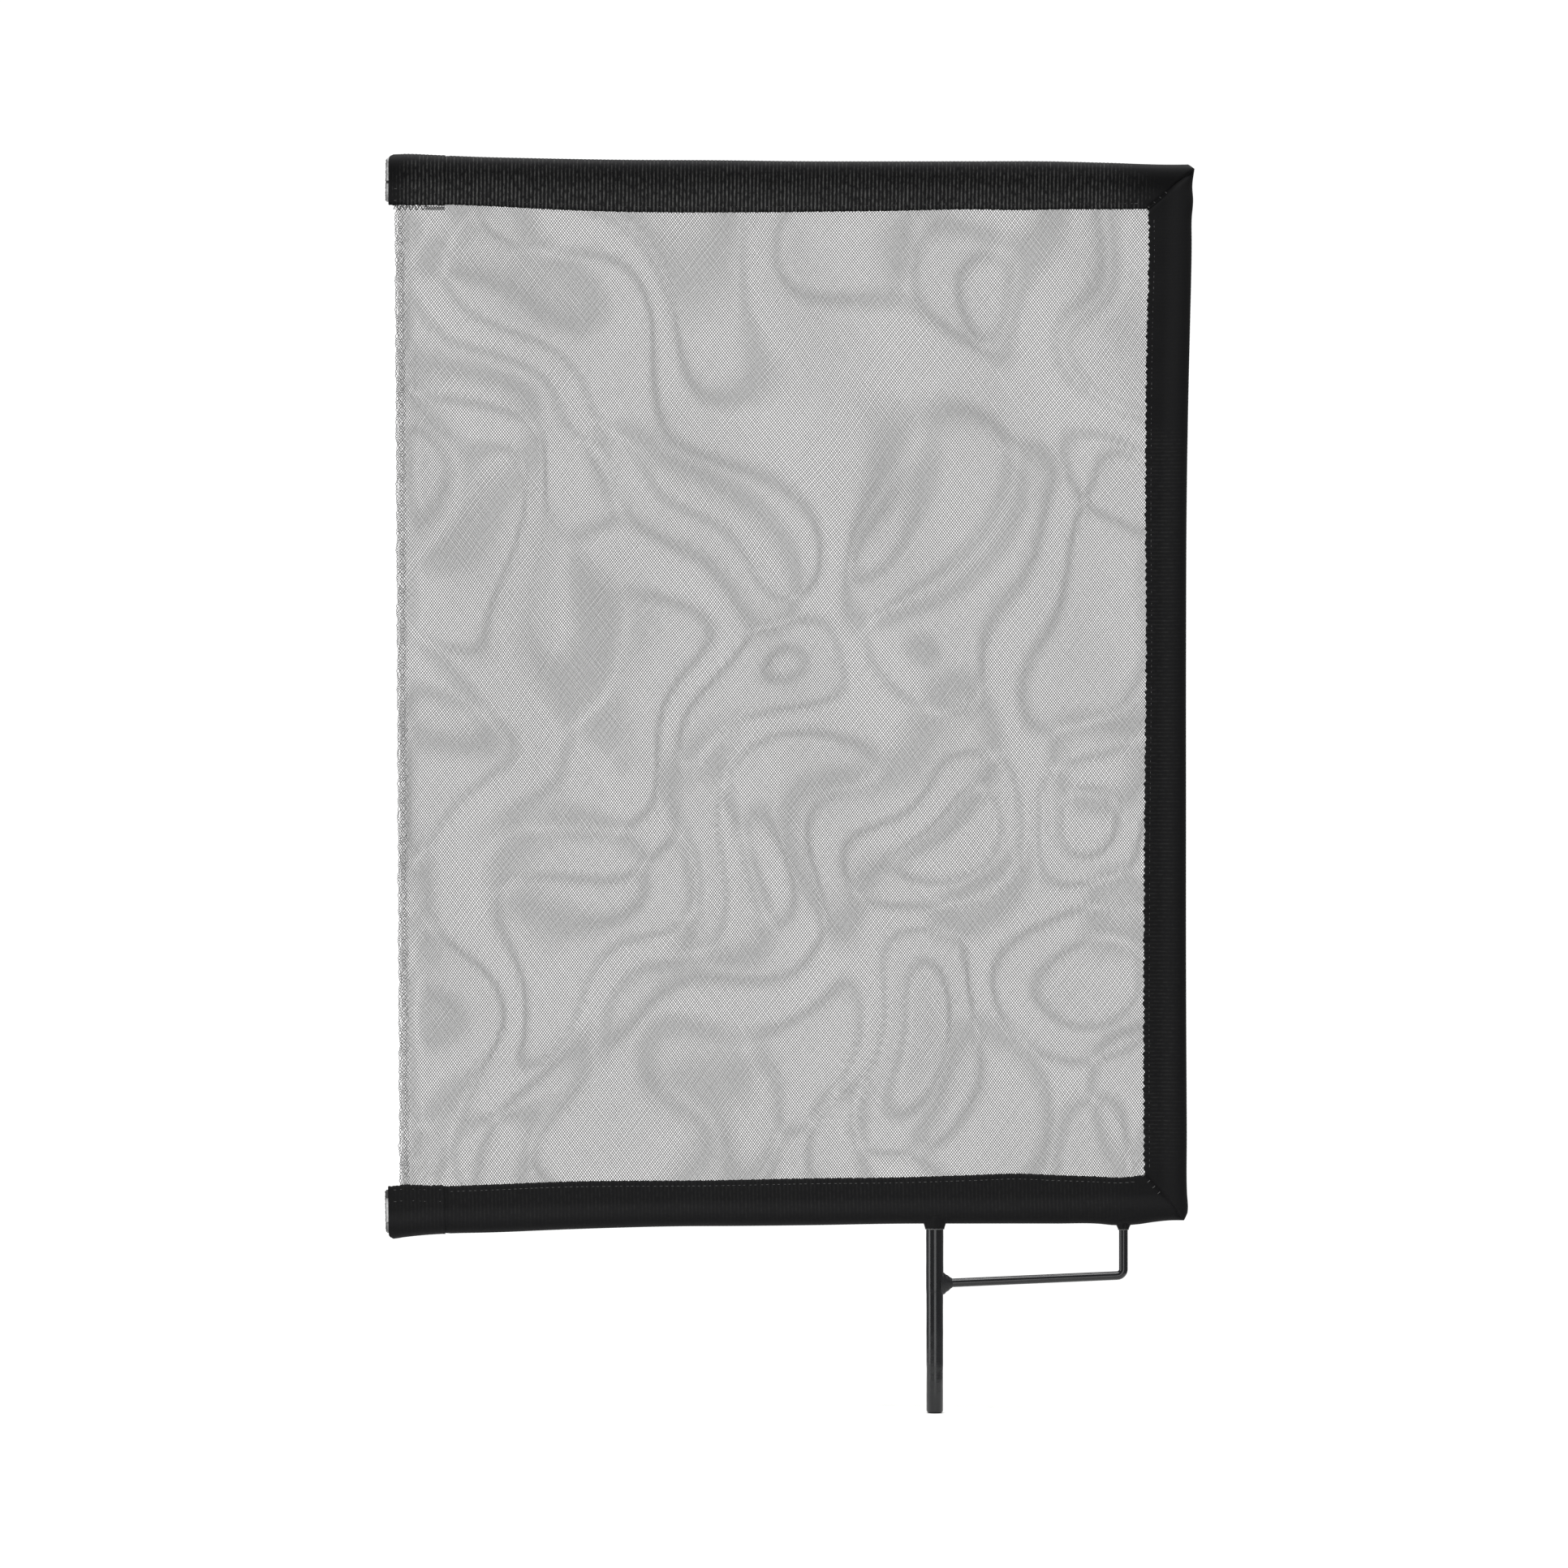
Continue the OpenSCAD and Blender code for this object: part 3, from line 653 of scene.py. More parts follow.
def tape_shell(side, places, grow_out, grow_in, rib_height, under_tab, edge_drop, ragged):
    """Folded tape over one rod, as (points, faces, uv). Each place s has a closed section: the outer
    skin from the front free edge over the rod to the back one, and the inner skin back again. Near an
    end the sections slide along s so that they lie on the end's outline. Cross ribs lift the outer
    skin by rib_height (1 - cos(2 pi s / pitch)) / 2."""
    tape = bpy.context.scene.net_tape
    arm = ARMS[side]
    radius, flap = tape.fold_radius, tape.flap_half
    half_points = ARC_STEPS + FLAT_STEPS
    last = 2 * half_points - 1
    order = np.concatenate([np.arange(half_points)[::-1], np.arange(1, half_points)])
    facing = np.where(np.arange(last) < half_points - 1, -1.0, 1.0)
    s0 = np.asarray(places)[:, None]
    mitred_end = "end" in TAPE_LINES[side]
    skins = []
    for grow, ribbed in ((grow_out, True), (grow_in, False)):
        s = np.repeat(s0, last, axis=1)
        # how far a point slides depends on where it lies, so both are settled in four rounds
        for _ in range(4):
            narrow = under_tab * ramp(s, arm.length - NARROW_FROM, arm.length - NARROW_TO)
            outer = outline(side, "outer", s) - narrow
            inner = outline(side, "inner", s) + edge_drop + ragged(s)
            lift = np.full(s.shape, grow)
            if ribbed:
                wave = 0.5 - 0.5 * np.cos(2 * math.pi * s / tape.rib_pitch)
                lift = grow + rib_height * rib_fade(side, s) * wave
            # point k of each section is taken at that point's own s
            m_all, h_all = fold_section(outer + inner, outer, lift, radius, flap)
            m, h = (np.take_along_axis(values, np.broadcast_to(order, s.shape)[..., None], -1)[..., 0]
                    for values in (m_all, h_all))
            n = m - radius + (radius - outer)
            lap = MITRE_LAP * ramp(n, LAP_FROM, LAP_WHOLE)
            slide = (end_line(side, "start", n) - lap) * (1 - np.clip(s0 / MITRE_REACH, 0, 1))
            if mitred_end:
                near_end = np.clip((s0 - arm.length + MITRE_REACH) / MITRE_REACH, 0, 1)
                far = (end_line(side, "end", n) + lap) * near_end
            else:
                drop = 1 - np.clip(m, 0, CORNER_ROUND) / CORNER_ROUND
                round_off = CORNER_ROUND * (1 - np.sqrt(np.clip(1 - drop ** 2, 0, 1)))
                far = -round_off * np.clip((s0 - arm.length + ROUND_REACH) / ROUND_REACH, 0, 1)
            s = s0 + slide + far
        # the mitre's fold is pressed in, and the flaps wave a little
        crease = CREASE * np.exp(-((s - end_line(side, "start", n)) / CREASE_WIDTH) ** 2)
        if mitred_end:
            from_end = s - arm.length - end_line(side, "end", n)
            crease = crease + CREASE * np.exp(-(from_end / CREASE_WIDTH) ** 2)
        y = facing * np.clip(h - crease, 0, None) + tape_wave(side, s, m)
        skins.append((arm.place(s, n, y), s, facing * m))
    (outside, s_o, v_o), (inside, s_i, v_i) = skins
    loop = np.concatenate([outside, inside[:, ::-1]], axis=1)
    rows, columns = loop.shape[:2]
    i = np.arange(last - 1)
    start_cap = np.stack([i + 1, i, columns - 1 - i, columns - 2 - i], axis=1)
    end_cap = np.stack([i, i + 1, columns - 2 - i, columns - 1 - i], axis=1) + (rows - 1) * columns
    faces = [grid_faces(rows, columns, close_columns=True), start_cap, end_cap]
    uv = [np.concatenate([there, back[:, ::-1]], 1) for there, back in ((s_o, s_i), (v_o, v_i))]
    return loop.reshape(-1, 3), faces, (np.stack(uv, -1) / MM).reshape(-1, 2)


def zigzag(s, pitch, height):
    """A pointed wave: height (4 |frac(s / pitch) - 1/2| - 1)."""
    return height * (4 * np.abs(np.mod(s / pitch, 1.0) - 0.5) - 1)


def stations(start, end, pitch, per_rib):
    """Places along an arm, the same number on every rib, with one more at the very end."""
    first, step = math.ceil(start / pitch), pitch / per_rib
    between = first * pitch + step * np.arange(int((end - first * pitch) / step - 0.3) + 1)
    return np.concatenate([[start], between[between > start + 0.3 * step], [end]])


def gathered_collar(x, z_top, z_foot, top_half, foot_radius, folds, sides=72):
    """The tape's mouth gathered round a rod: a cone from an oval, top_half across and to the back, down
    to a circle, swollen by folds, r (1 + 0.035 sin(folds a)), with an inner wall 0.7 mm inside it."""
    angle = 2 * math.pi * np.arange(sides) / sides
    t = np.linspace(0, 1, 9)[:, None]
    swell = 1 + 0.035 * (1 - 0.5 * t) * np.sin(folds * angle)
    walls, heights = [], []
    for inset, order in ((0.0, slice(None)), (0.7 * MM, slice(None, None, -1))):
        across, back = ((half + (foot_radius - half) * t ** 0.7) * swell - inset for half in top_half)
        walls.append(np.stack([across * np.cos(angle), back * np.sin(angle)], -1)[order])
        heights.append((z_top + (z_foot - z_top) * t)[order])
    wall, height = np.concatenate(walls), np.concatenate(heights)
    points = np.concatenate([wall, np.broadcast_to(height[..., None], (*wall.shape[:2], 1))], -1)
    points[..., 0] += x
    rows = len(wall)
    faces = grid_faces(rows, sides, close_columns=True)
    ring = np.arange(sides)
    following, end = (ring + 1) % sides, (rows - 1) * sides
    closing = np.stack([end + ring, end + following, following, ring], axis=1)
    return points.reshape(-1, 3), [faces, closing]


def bottom_edge_z(x):
    """Height of the bottom tape's lower edge at a distance x from the pin's axis."""
    arm = ARMS["bottom"]
    s = (arm.corner[0] - x) / abs(arm.along[0])
    return float(arm.place(np.array(s), -outline("bottom", "outer", np.array(s)), np.array(0.0))[2])


# ---------------------------------------------------------------- thread

def stitch_row(arm, s, n, y, facing, length, radius, lean=0.0, rise=0.04 * MM, sides=6, rings=7):
    """A row of separate stitches: each is a short flattened tube whose line is s + (t - 1/2) length
    along the arm and stands rise sin(pi t) off the tape, closed at both ends by its own middle."""
    s, n, y = (np.asarray(v, float)[:, None] for v in np.broadcast_arrays(s, n, y))
    t = np.linspace(0, 1, rings)
    along = s + (t - 0.5) * length
    centres = arm.place(along, n + (t - 0.5) * lean, y + facing * (rise * np.sin(math.pi * t) - 0.06 * MM))
    tangent = np.gradient(centres, axis=1)
    tangent /= np.linalg.norm(tangent, axis=-1, keepdims=True)
    across = np.cross(tangent, np.array([0.0, 1.0, 0.0]))
    across /= np.linalg.norm(across, axis=-1, keepdims=True)
    over = np.cross(across, tangent)
    tubes = tube_rings(centres, across, over, radius, 0.4 * radius, sides).reshape(len(s), -1, 3)
    points = np.concatenate([tubes, centres[:, [0, -1]]], axis=1)
    step = (np.arange(len(s)) * points.shape[1])[:, None, None]
    blocks = [(block + step).reshape(-1, block.shape[1]) for block in tube_faces(rings, sides)]
    return points.reshape(-1, 3), blocks


def rope_ring(x, z, ring_radius, rope_radius, turns=15, around=180, sides=10):
    """A ring of whipped thread: a circle of radius R whose own section, radius r, is swollen to
    r (1 + 0.22 cos(2 b + turns a)) as it goes round by a, so that it looks wound."""
    a = 2 * math.pi * np.arange(around)[:, None] / around
    b = 2 * math.pi * np.arange(sides)[None, :] / sides
    r = rope_radius * (1 + 0.22 * np.cos(2 * b + turns * a))
    reach = ring_radius + r * np.cos(b)
    points = np.stack([x + reach * np.cos(a), reach * np.sin(a), z + r * np.sin(b)], -1).reshape(-1, 3)
    row, column = np.meshgrid(np.arange(around), np.arange(sides), indexing="ij")
    next_row, next_column = (row + 1) % around, (column + 1) % sides
    faces = np.stack([row * sides + column, row * sides + next_column,
                      next_row * sides + next_column, next_row * sides + column], -1)
    return points, [faces.reshape(-1, 4)]


# ---------------------------------------------------------------- net

# the net is cut this far inside the hem's own outer edge
HEM_REACH = 1.5 * MM
# a thread's direction is taken between points this far ahead and behind, in cells
STEP_CELLS = 0.2


def net_frame():
    """The net's four corners in the XZ plane, tucked in under the tapes: bottom left, bottom right, top
    right and top left."""
    net = bpy.context.scene.net_mesh
    top, side, bottom = ARMS["top"], ARMS["side"], ARMS["bottom"]
    hem_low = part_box("open_edge_hem")[0]
    foot_x, head_x = hem_low[0] + 2.9 * MM + HEM_REACH, hem_low[0] + 0.2 * MM + HEM_REACH

    def inside(arm, name, x):
        s = (arm.corner[0] - x) / abs(arm.along[0])
        return arm.place(np.array(s), outline(name, "inner", np.array(s)) - net.tuck, np.array(0.0))[[0, 2]]

    right_low = side.corner + side.along * 0.022 + side.inward * (19.7 * MM - net.tuck)
    right_high = side.corner + side.along * (side.length - 0.020) + side.inward * (19.6 * MM - net.tuck)
    low, high = inside(bottom, "bottom", foot_x), inside(top, "top", head_x)
    return (np.array([foot_x, low[1]]), np.array([right_low[0], right_low[1] - net.tuck]),
            np.array([right_high[0], right_high[1] + net.tuck]), np.array([head_x, high[1]]))


def waves(u, v, seed, widths, heights, count=10):
    """A smooth uneven surface over (u, v) metres, with a spread of about 1: sine waves of lengths within
    `widths` across and `heights` up, leaning either way, with seeded phases."""
    rng = np.random.default_rng(seed)
    across = 2 * math.pi / rng.uniform(*widths, count) * rng.choice([-1, 1], count)
    up = 2 * math.pi / rng.uniform(*heights, count)
    phase = rng.uniform(0, 2 * math.pi, count)
    total = sum(np.sin(u * a + v * b + p) for a, b, p in zip(across, up, phase))
    return total / math.sqrt(count / 2)


def slipped(level, width):
    """Whole steps with smooth rises between them: floor(level), plus a smooth step of that width."""
    part = level - np.floor(level)
    return np.floor(level) + ramp(part, 0.5 - width, 0.5 + width)


def net_point(u, v, size, corners, layer, net):
    """A point of the net from its place on the flat cut: pulled out of true by waves and, in the back
    layer, slipped by half cells along curved lines; then laid into the window by mixing the four
    corners, (1-p)(1-q) BL + p(1-q) BR + pq TR + (1-p)q TL. Where the layers' cells lie over one another
    light comes through, and along a slip it is shut out, so that the slips show as dark bands."""
    pull_u = net.stretch * waves(u, v, net.seed, (0.07, 0.20), (0.10, 0.30))
    pull_v = net.stretch * waves(u, v, net.seed + 1, (0.07, 0.20), (0.10, 0.30))
    if layer:
        bent_u = u + net.curl * waves(u, v, net.seed + 5, (0.14, 0.32), (0.14, 0.32))
        bent_v = v + net.curl * waves(u, v, net.seed + 6, (0.14, 0.32), (0.14, 0.32))
        level_u = net.slips * waves(bent_u, bent_v, net.seed + 2, (0.13, 0.28), (0.16, 0.40))
        level_v = 0.5 * net.slips * waves(bent_u, bent_v, net.seed + 3, (0.13, 0.28), (0.16, 0.40))
        pull_u = pull_u + net.cell_width / 2 * slipped(level_u, net.slip_width) + net.lag
        pull_v = pull_v + net.cell_height / 2 * slipped(level_v, net.slip_width)
    p = np.clip((u + ramp(u, 0.0, 0.012) * pull_u) / size[0], 0, 1)[..., None]
    q = np.clip((v + pull_v) / size[1], 0, 1)[..., None]
    bl, br, tr, tl = corners
    flat = (1 - p) * (1 - q) * bl + p * (1 - q) * br + p * q * tr + (1 - p) * q * tl
    belly = (np.sin(math.pi * p) * np.sin(math.pi * q))[..., 0]
    swell = ripple(u / MM + 0.7 * v / MM, (210, 130, 77), net.seed + 4)
    y = (layer - 0.5) * net.layer_gap + belly * net.billow * swell
    return np.stack([flat[..., 0], y, flat[..., 1]], -1)


def net_strands(layer, between):
    """Half the threads of one layer of lozenge mesh: two families of slanting threads, a - b = k and
    a + b = k in cells across a and up b, for whole k or, when `between`, for k + pairing. Each thread is
    cut to the net's edges, divided into rings about ring_step apart that stray from its line by a
    seeded jitter, and given a flat three-sided section, with its ends closed."""
    net = bpy.context.scene.net_mesh
    corners = net_frame()
    size = np.array([np.linalg.norm(corners[1] - corners[0]), np.linalg.norm(corners[3] - corners[0])])
    cells = size / np.array([net.cell_width, net.cell_height])
    rng = np.random.default_rng(net.seed + 20 + 2 * layer + between)
    offset = net.pairing if between else 0.0
    parts = []
    for slant in (1, -1):
        if slant > 0:
            k = np.arange(math.ceil(-cells[1]) + 1, math.floor(cells[0])) + offset
            low, high = np.maximum(0, -k), np.minimum(cells[1], cells[0] - k)
        else:
            k = np.arange(1, math.floor(cells[0] + cells[1])) + offset
            low, high = np.maximum(0, k - cells[0]), np.minimum(cells[1], k)
        k, low, high = (values[high - low > 0.6] for values in (k, low, high))
        diagonal = math.hypot(net.cell_width, net.cell_height)
        counts = np.ceil((high - low) * diagonal / net.ring_step).astype(int) + 1
        strand = np.repeat(np.arange(len(k)), counts)
        first = np.cumsum(counts) - counts
        i = np.arange(counts.sum()) - first[strand]
        b = low[strand] + (high - low)[strand] * i / (counts - 1)[strand]
        a = k[strand] + slant * b
        u, v = a * net.cell_width, b * net.cell_height
        step_u, step_v = slant * STEP_CELLS * net.cell_width, STEP_CELLS * net.cell_height
        centres, ahead, behind = (net_point(u + way * step_u, v + way * step_v, size, corners, layer, net)
                                  for way in (0, 1, -1))
        tangent = ahead - behind
        tangent /= np.maximum(np.linalg.norm(tangent, axis=1, keepdims=True), 1e-9)
        across = np.cross(tangent, np.array([0.0, 1.0, 0.0]))
        across /= np.maximum(np.linalg.norm(across, axis=1, keepdims=True), 1e-9)
        over = np.cross(across, tangent)
        stray = rng.normal(0, net.jitter, len(k))[strand] * 0.5 + rng.normal(0, net.jitter, len(u)) * 0.85
        centres = centres + stray[:, None] * across
        centres[:, 1] += slant * 0.3 * net.thread_height
        sides = 3
        rings = tube_rings(centres, across, over, net.thread_width / 1.5, net.thread_height / 1.5, sides)
        ring = np.arange(sides)
        following = (ring + 1) % sides
        joins = np.flatnonzero(i < (counts - 1)[strand])[:, None] * sides
        walls = np.stack([joins + ring, joins + following,
                          joins + sides + following, joins + sides + ring], -1)
        start_caps = (first * sides)[:, None] + ring[::-1]
        end_caps = ((first + counts - 1) * sides)[:, None] + ring
        parts.append((rings.reshape(-1, 3), [walls.reshape(-1, 4), start_caps, end_caps]))
    points, faces = joined(parts)
    return points, faces, size


# ---------------------------------------------------------------- operators

class NetOperator(bpy.types.Operator):
    """Shared settings of the operators that build a piece."""
    bl_options = {"REGISTER", "UNDO"}


def tape_painted_sheen_material(side):
    """The ribs' painted highlight, dimmed as painted shade on the upright side bar and the shaded bottom arm,
    which catch less light than the top's.
    """
    tape = bpy.context.scene.net_tape
    # painted shade: the share of the top's painted highlight that each arm's rib crests keep
    painted_sheen_share = {"top": 1.0, "side": 0.12, "bottom": 0.08}[side]
    crest = tuple(b + (c - b) * painted_sheen_share for b, c in zip(tape.colour, tape.rib_sheen_colour))
    name = f"grosgrain_tape_{side}"
    return bpy.data.materials.get(name) or ribbed_tape_material(name, tuple(tape.colour), crest)


def shared_material(name, make, *colours):
    return bpy.data.materials.get(name) or make(name, *(tuple(c) for c in colours))


class NET_OT_frame_rods(NetOperator):
    """Three steel rods, bent a little by the net's pull, and the welds at their corners"""
    bl_idname = "net.frame_rods"
    bl_label = "Frame rods"

    def execute(self, context):
        metal = context.scene.net_metal
        steel = shared_material("powder_coated_rod", powder_coat_material, metal.colour, metal.worn_colour)
        bead = shared_material("coated_weld", weld_material, metal.colour, metal.worn_colour)
        mitre_half = 0.8 * MM
        for side, arm in ARMS.items():
            last = arm.length if side == "side" else arm.length - 4 * MM
            s = np.linspace(0, last, 120)
            # the ends of a rod are cut on the slant, so that its rings lean over towards each mitre
            line = arm.place(s, rod_bow(side, s), 0 * s)
            points, faces = flat_tube(line, metal.rod_radius, metal.rod_radius, 32)
            local = points[:, [0, 2]] - arm.corner
            along, across = local @ arm.along, local @ arm.inward
            lean = (across + mitre_half * 1.5) * (1 - np.clip(along / (20 * MM), 0, 1))
            if side == "side":
                lean -= (across + mitre_half * 1.5) * (1 - np.clip((arm.length - along) / (20 * MM), 0, 1))
            points[:, [0, 2]] += lean[:, None] * arm.along
            make_piece(f"rod_{side}", points, faces, steel, (f"frame_rod_{side}",))
        for node in ("corner_weld_top", "corner_weld_bottom"):
            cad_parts[node].data.materials.clear()
            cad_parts[node].data.materials.append(bead)
        return {"FINISHED"}


class NET_OT_pin(NetOperator):
    """The round mounting pin with its rounded tip, and the weld that joins it to the bottom rod"""
    bl_idname = "net.pin"
    bl_label = "Mounting pin"

    def execute(self, context):
        metal = context.scene.net_metal
        steel = shared_material("powder_coated_pin", powder_coat_material, metal.colour, metal.worn_colour)
        bead = shared_material("coated_weld", weld_material, metal.colour, metal.worn_colour)
        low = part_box("mounting_pin")[0]
        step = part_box("brace_pin_weld")[0][2] + 0.8 * MM
        a = np.linspace(0, math.pi / 2, 12)
        tip_r = metal.pin_radius - metal.pin_tip * (1 - np.sin(a))
        tip_z = low[2] + metal.pin_tip * (1 - np.cos(a)) * 0.9
        shank_z = np.linspace(tip_z[-1] + 0.4 * MM, rod_height(0.0), 90)
        wider = ramp(shank_z, step - 2 * MM, step + 3 * MM)
        shank_r = metal.pin_radius + (metal.pin_upper_radius - metal.pin_radius) * wider
        shank_r = shank_r + 0.02 * MM * ripple(shank_z / MM, (31, 17, 9), 4)
        points, faces = turned(np.append(tip_z, shank_z), np.append(tip_r, shank_r), (0.0, 0.0))
        make_piece("pin", points, faces, steel, ("mounting_pin",))
        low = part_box("pin_weld")[0]
        z = np.linspace(low[2], rod_height(0.0) - 0.5 * MM, 14)
        t = (z - z[0]) / (z[-1] - z[0])
        r = metal.pin_upper_radius - (0.1 + 0.9 * t ** 1.6) * MM
        points, faces = turned(z, r * (1 + 0.012 * np.cos(9 * math.pi * t)), (0.0, 0.0), 48, 0.012)
        make_piece("weld_pin", points, faces, bead, ("pin_weld",))
        return {"FINISHED"}


def rod_height(x):
    """Height of the bottom rod's centre line at x."""
    arm = ARMS["bottom"]
    s = np.array((arm.corner[0] - x) / abs(arm.along[0]))
    return float(arm.place(s, rod_bow("bottom", s), np.array(0.0))[2])


def brace_path():
    """The brace rod's centre line: out from the pin on a slight rise, round one bend, and straight up
    into the bottom arm. Returns its points, the long leg's foot and rise, and its reach."""
    metal = bpy.context.scene.net_metal
    weld_low, weld_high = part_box("brace_pin_weld")
    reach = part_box("brace_rod")[1][0] - metal.brace_radius
    rise = math.radians(2.53)
    foot = (weld_low[2] + weld_high[2]) / 2
    bend_x = reach - metal.bend_radius
    bend_z = foot + bend_x * math.tan(rise) + metal.bend_radius / math.cos(rise)
    turn = np.linspace(rise, math.pi / 2, 18)
    start_x = metal.pin_upper_radius - 0.6 * MM
    arc = np.stack([bend_x + metal.bend_radius * np.sin(turn), 0 * turn,
                    bend_z - metal.bend_radius * np.cos(turn)], 1)
    leg_x = np.linspace(start_x, arc[0, 0], 40)[:-1]
    leg = np.stack([leg_x, 0 * leg_x, foot + leg_x * math.tan(rise)], 1)
    up_z = np.linspace(bend_z, rod_height(reach), 24)[1:]
    up = np.stack([np.full(len(up_z), reach), 0 * up_z, up_z], 1)
    return np.concatenate([leg, arc, up]), foot, rise, reach


class NET_OT_brace(NetOperator):
    """The bent brace rod between the pin and the bottom arm, with a fillet weld at each end"""
    bl_idname = "net.brace"
    bl_label = "Brace"

    def execute(self, context):
        metal = context.scene.net_metal
        steel = shared_material("powder_coated_pin", powder_coat_material, metal.colour, metal.worn_colour)
        bead = shared_material("coated_weld", weld_material, metal.colour, metal.worn_colour)
        path, foot, rise, reach = brace_path()
        points, faces = flat_tube(path, metal.brace_radius, metal.brace_radius, 32)
        make_piece("brace", points, faces, steel, ("brace_rod",))
        # the fillet narrows from the pin's side to the brace: its half height falls straight, as the
        # welder's three passes left it, and its half width less
        t = np.linspace(0, 1, 26)
        reach_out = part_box("brace_pin_weld")[1][0] + 0.3 * MM
        x = 3.2 * MM + (reach_out - 3.2 * MM) * t
        centres = np.stack([x, 0 * x, foot + x * math.tan(rise)], 1)
        passes = 1 + 0.025 * np.cos(6 * math.pi * t)
        tall = (7.6 * (1 - t) + 2.56 * t) * MM * passes
        wide = (4.15 * (1 - t) + 2.56 * t) * MM
        points, faces = flat_tube(centres, tall, wide, 40)
        make_piece("weld_brace_pin", points, faces, bead, ("brace_pin_weld",))
        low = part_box("brace_frame_weld")[0]
        z = np.linspace(low[2], rod_height(reach) - 0.5 * MM, 12)
        t = (z - z[0]) / (z[-1] - z[0])
        r = metal.brace_radius + (0.12 + 0.9 * t ** 1.6) * MM
        points, faces = turned(z, r * (1 + 0.012 * np.cos(7 * math.pi * t)), (reach, 0.0), 40, 0.012)
        make_piece("weld_brace_frame", points, faces, bead, ("brace_frame_weld",))
        return {"FINISHED"}


# how far the gathered mouths hang below the bottom tape's edge
PIN_MOUTH_DROP, BRACE_MOUTH_DROP = 2.9 * MM, 2.3 * MM
# the share of the folded end's thickness by which the sleeve below it is narrower
TAB_SHARE = 0.9
# how far the ribs of each tape stand out: the side and bottom tapes are pulled flatter
RIB_SHARE = {"top": 1.0, "side": 0.3, "bottom": 0.2}
# how many cross-sections each tape has on every rib
RIB_STEPS = {"top": 4, "side": 3, "bottom": 4}


class NET_OT_binding(NetOperator):
    """The ribbed tape over the rods, mitred at the corners and gathered at the pin and brace"""
    bl_idname = "net.binding"
    bl_label = "Binding tape"

    def execute(self, context):
        tape = context.scene.net_tape
        for side, arm in ARMS.items():
            s = stations(0, arm.length, tape.rib_pitch, RIB_STEPS[side])
            if side == "side":
                def ragged(at):
                    return zigzag(at, 4.05 * MM, 0.5 * MM) + 0.3 * MM * ripple(at / MM, (17.3, 7.3, 2.9), 8)
            else:
                def ragged(at):
                    return 0.16 * MM * ripple(at / MM, (3.3, 2.1, 6.1), 5)
            under = 0.0 if side == "side" else (tape.tab_thickness + tape.rib_height) * TAB_SHARE
            height = tape.rib_height * RIB_SHARE[side]
            points, faces, uv = tape_shell(side, s, 0.0, -tape.thickness, height, under, 0.0, ragged)
            if side == "bottom":
                # (rod's place, rise into the tape, drop below it, half widths at the top, foot, folds)
                mouths = [
                    (0.0, 4.4 * MM, PIN_MOUTH_DROP, (8.2 * MM, 4.98 * MM), 5.4 * MM, 11),
                    (brace_path()[3], 2.2 * MM, BRACE_MOUTH_DROP, (5.6 * MM, 3.6 * MM), 2.95 * MM, 9),
                ]
                collars = [gathered_collar(x, bottom_edge_z(x) + rise, bottom_edge_z(x) - drop, *shape)
                           for x, rise, drop, *shape in mouths]
                extra = sum(len(p) for p, _ in collars)
                points, faces = joined([(points, faces), *collars])
                uv = np.concatenate([uv, np.zeros((extra, 2))])
                uv[-extra:] = points[-extra:][:, [0, 2]] / MM
            made = make_piece(f"tape_{side}", points, faces, tape_painted_sheen_material(side),
                              (f"binding_{side}",), uv=uv)
        return {"FINISHED"}


# how pale each cut end is, as (distance from the rod line in millimetres, tone); the top's dip to 0.05
# between 9.8 and 10.8 mm is painted shade, standing in for a groove down the middle of the end
CUT_END_TONES = {
    "top": [(-3.4, 0.5), (2, 0.8), (9.2, 0.75), (9.8, 0.05), (10.8, 0.05), (11.4, 0.7), (21.6, 0.55)],
    "bottom": [(-2.8, 0.35), (2.6, 0.5), (3.1, 0.3), (3.6, 1.0), (16.3, 0.9), (17.1, 0.1), (21.8, 0.1)],
}


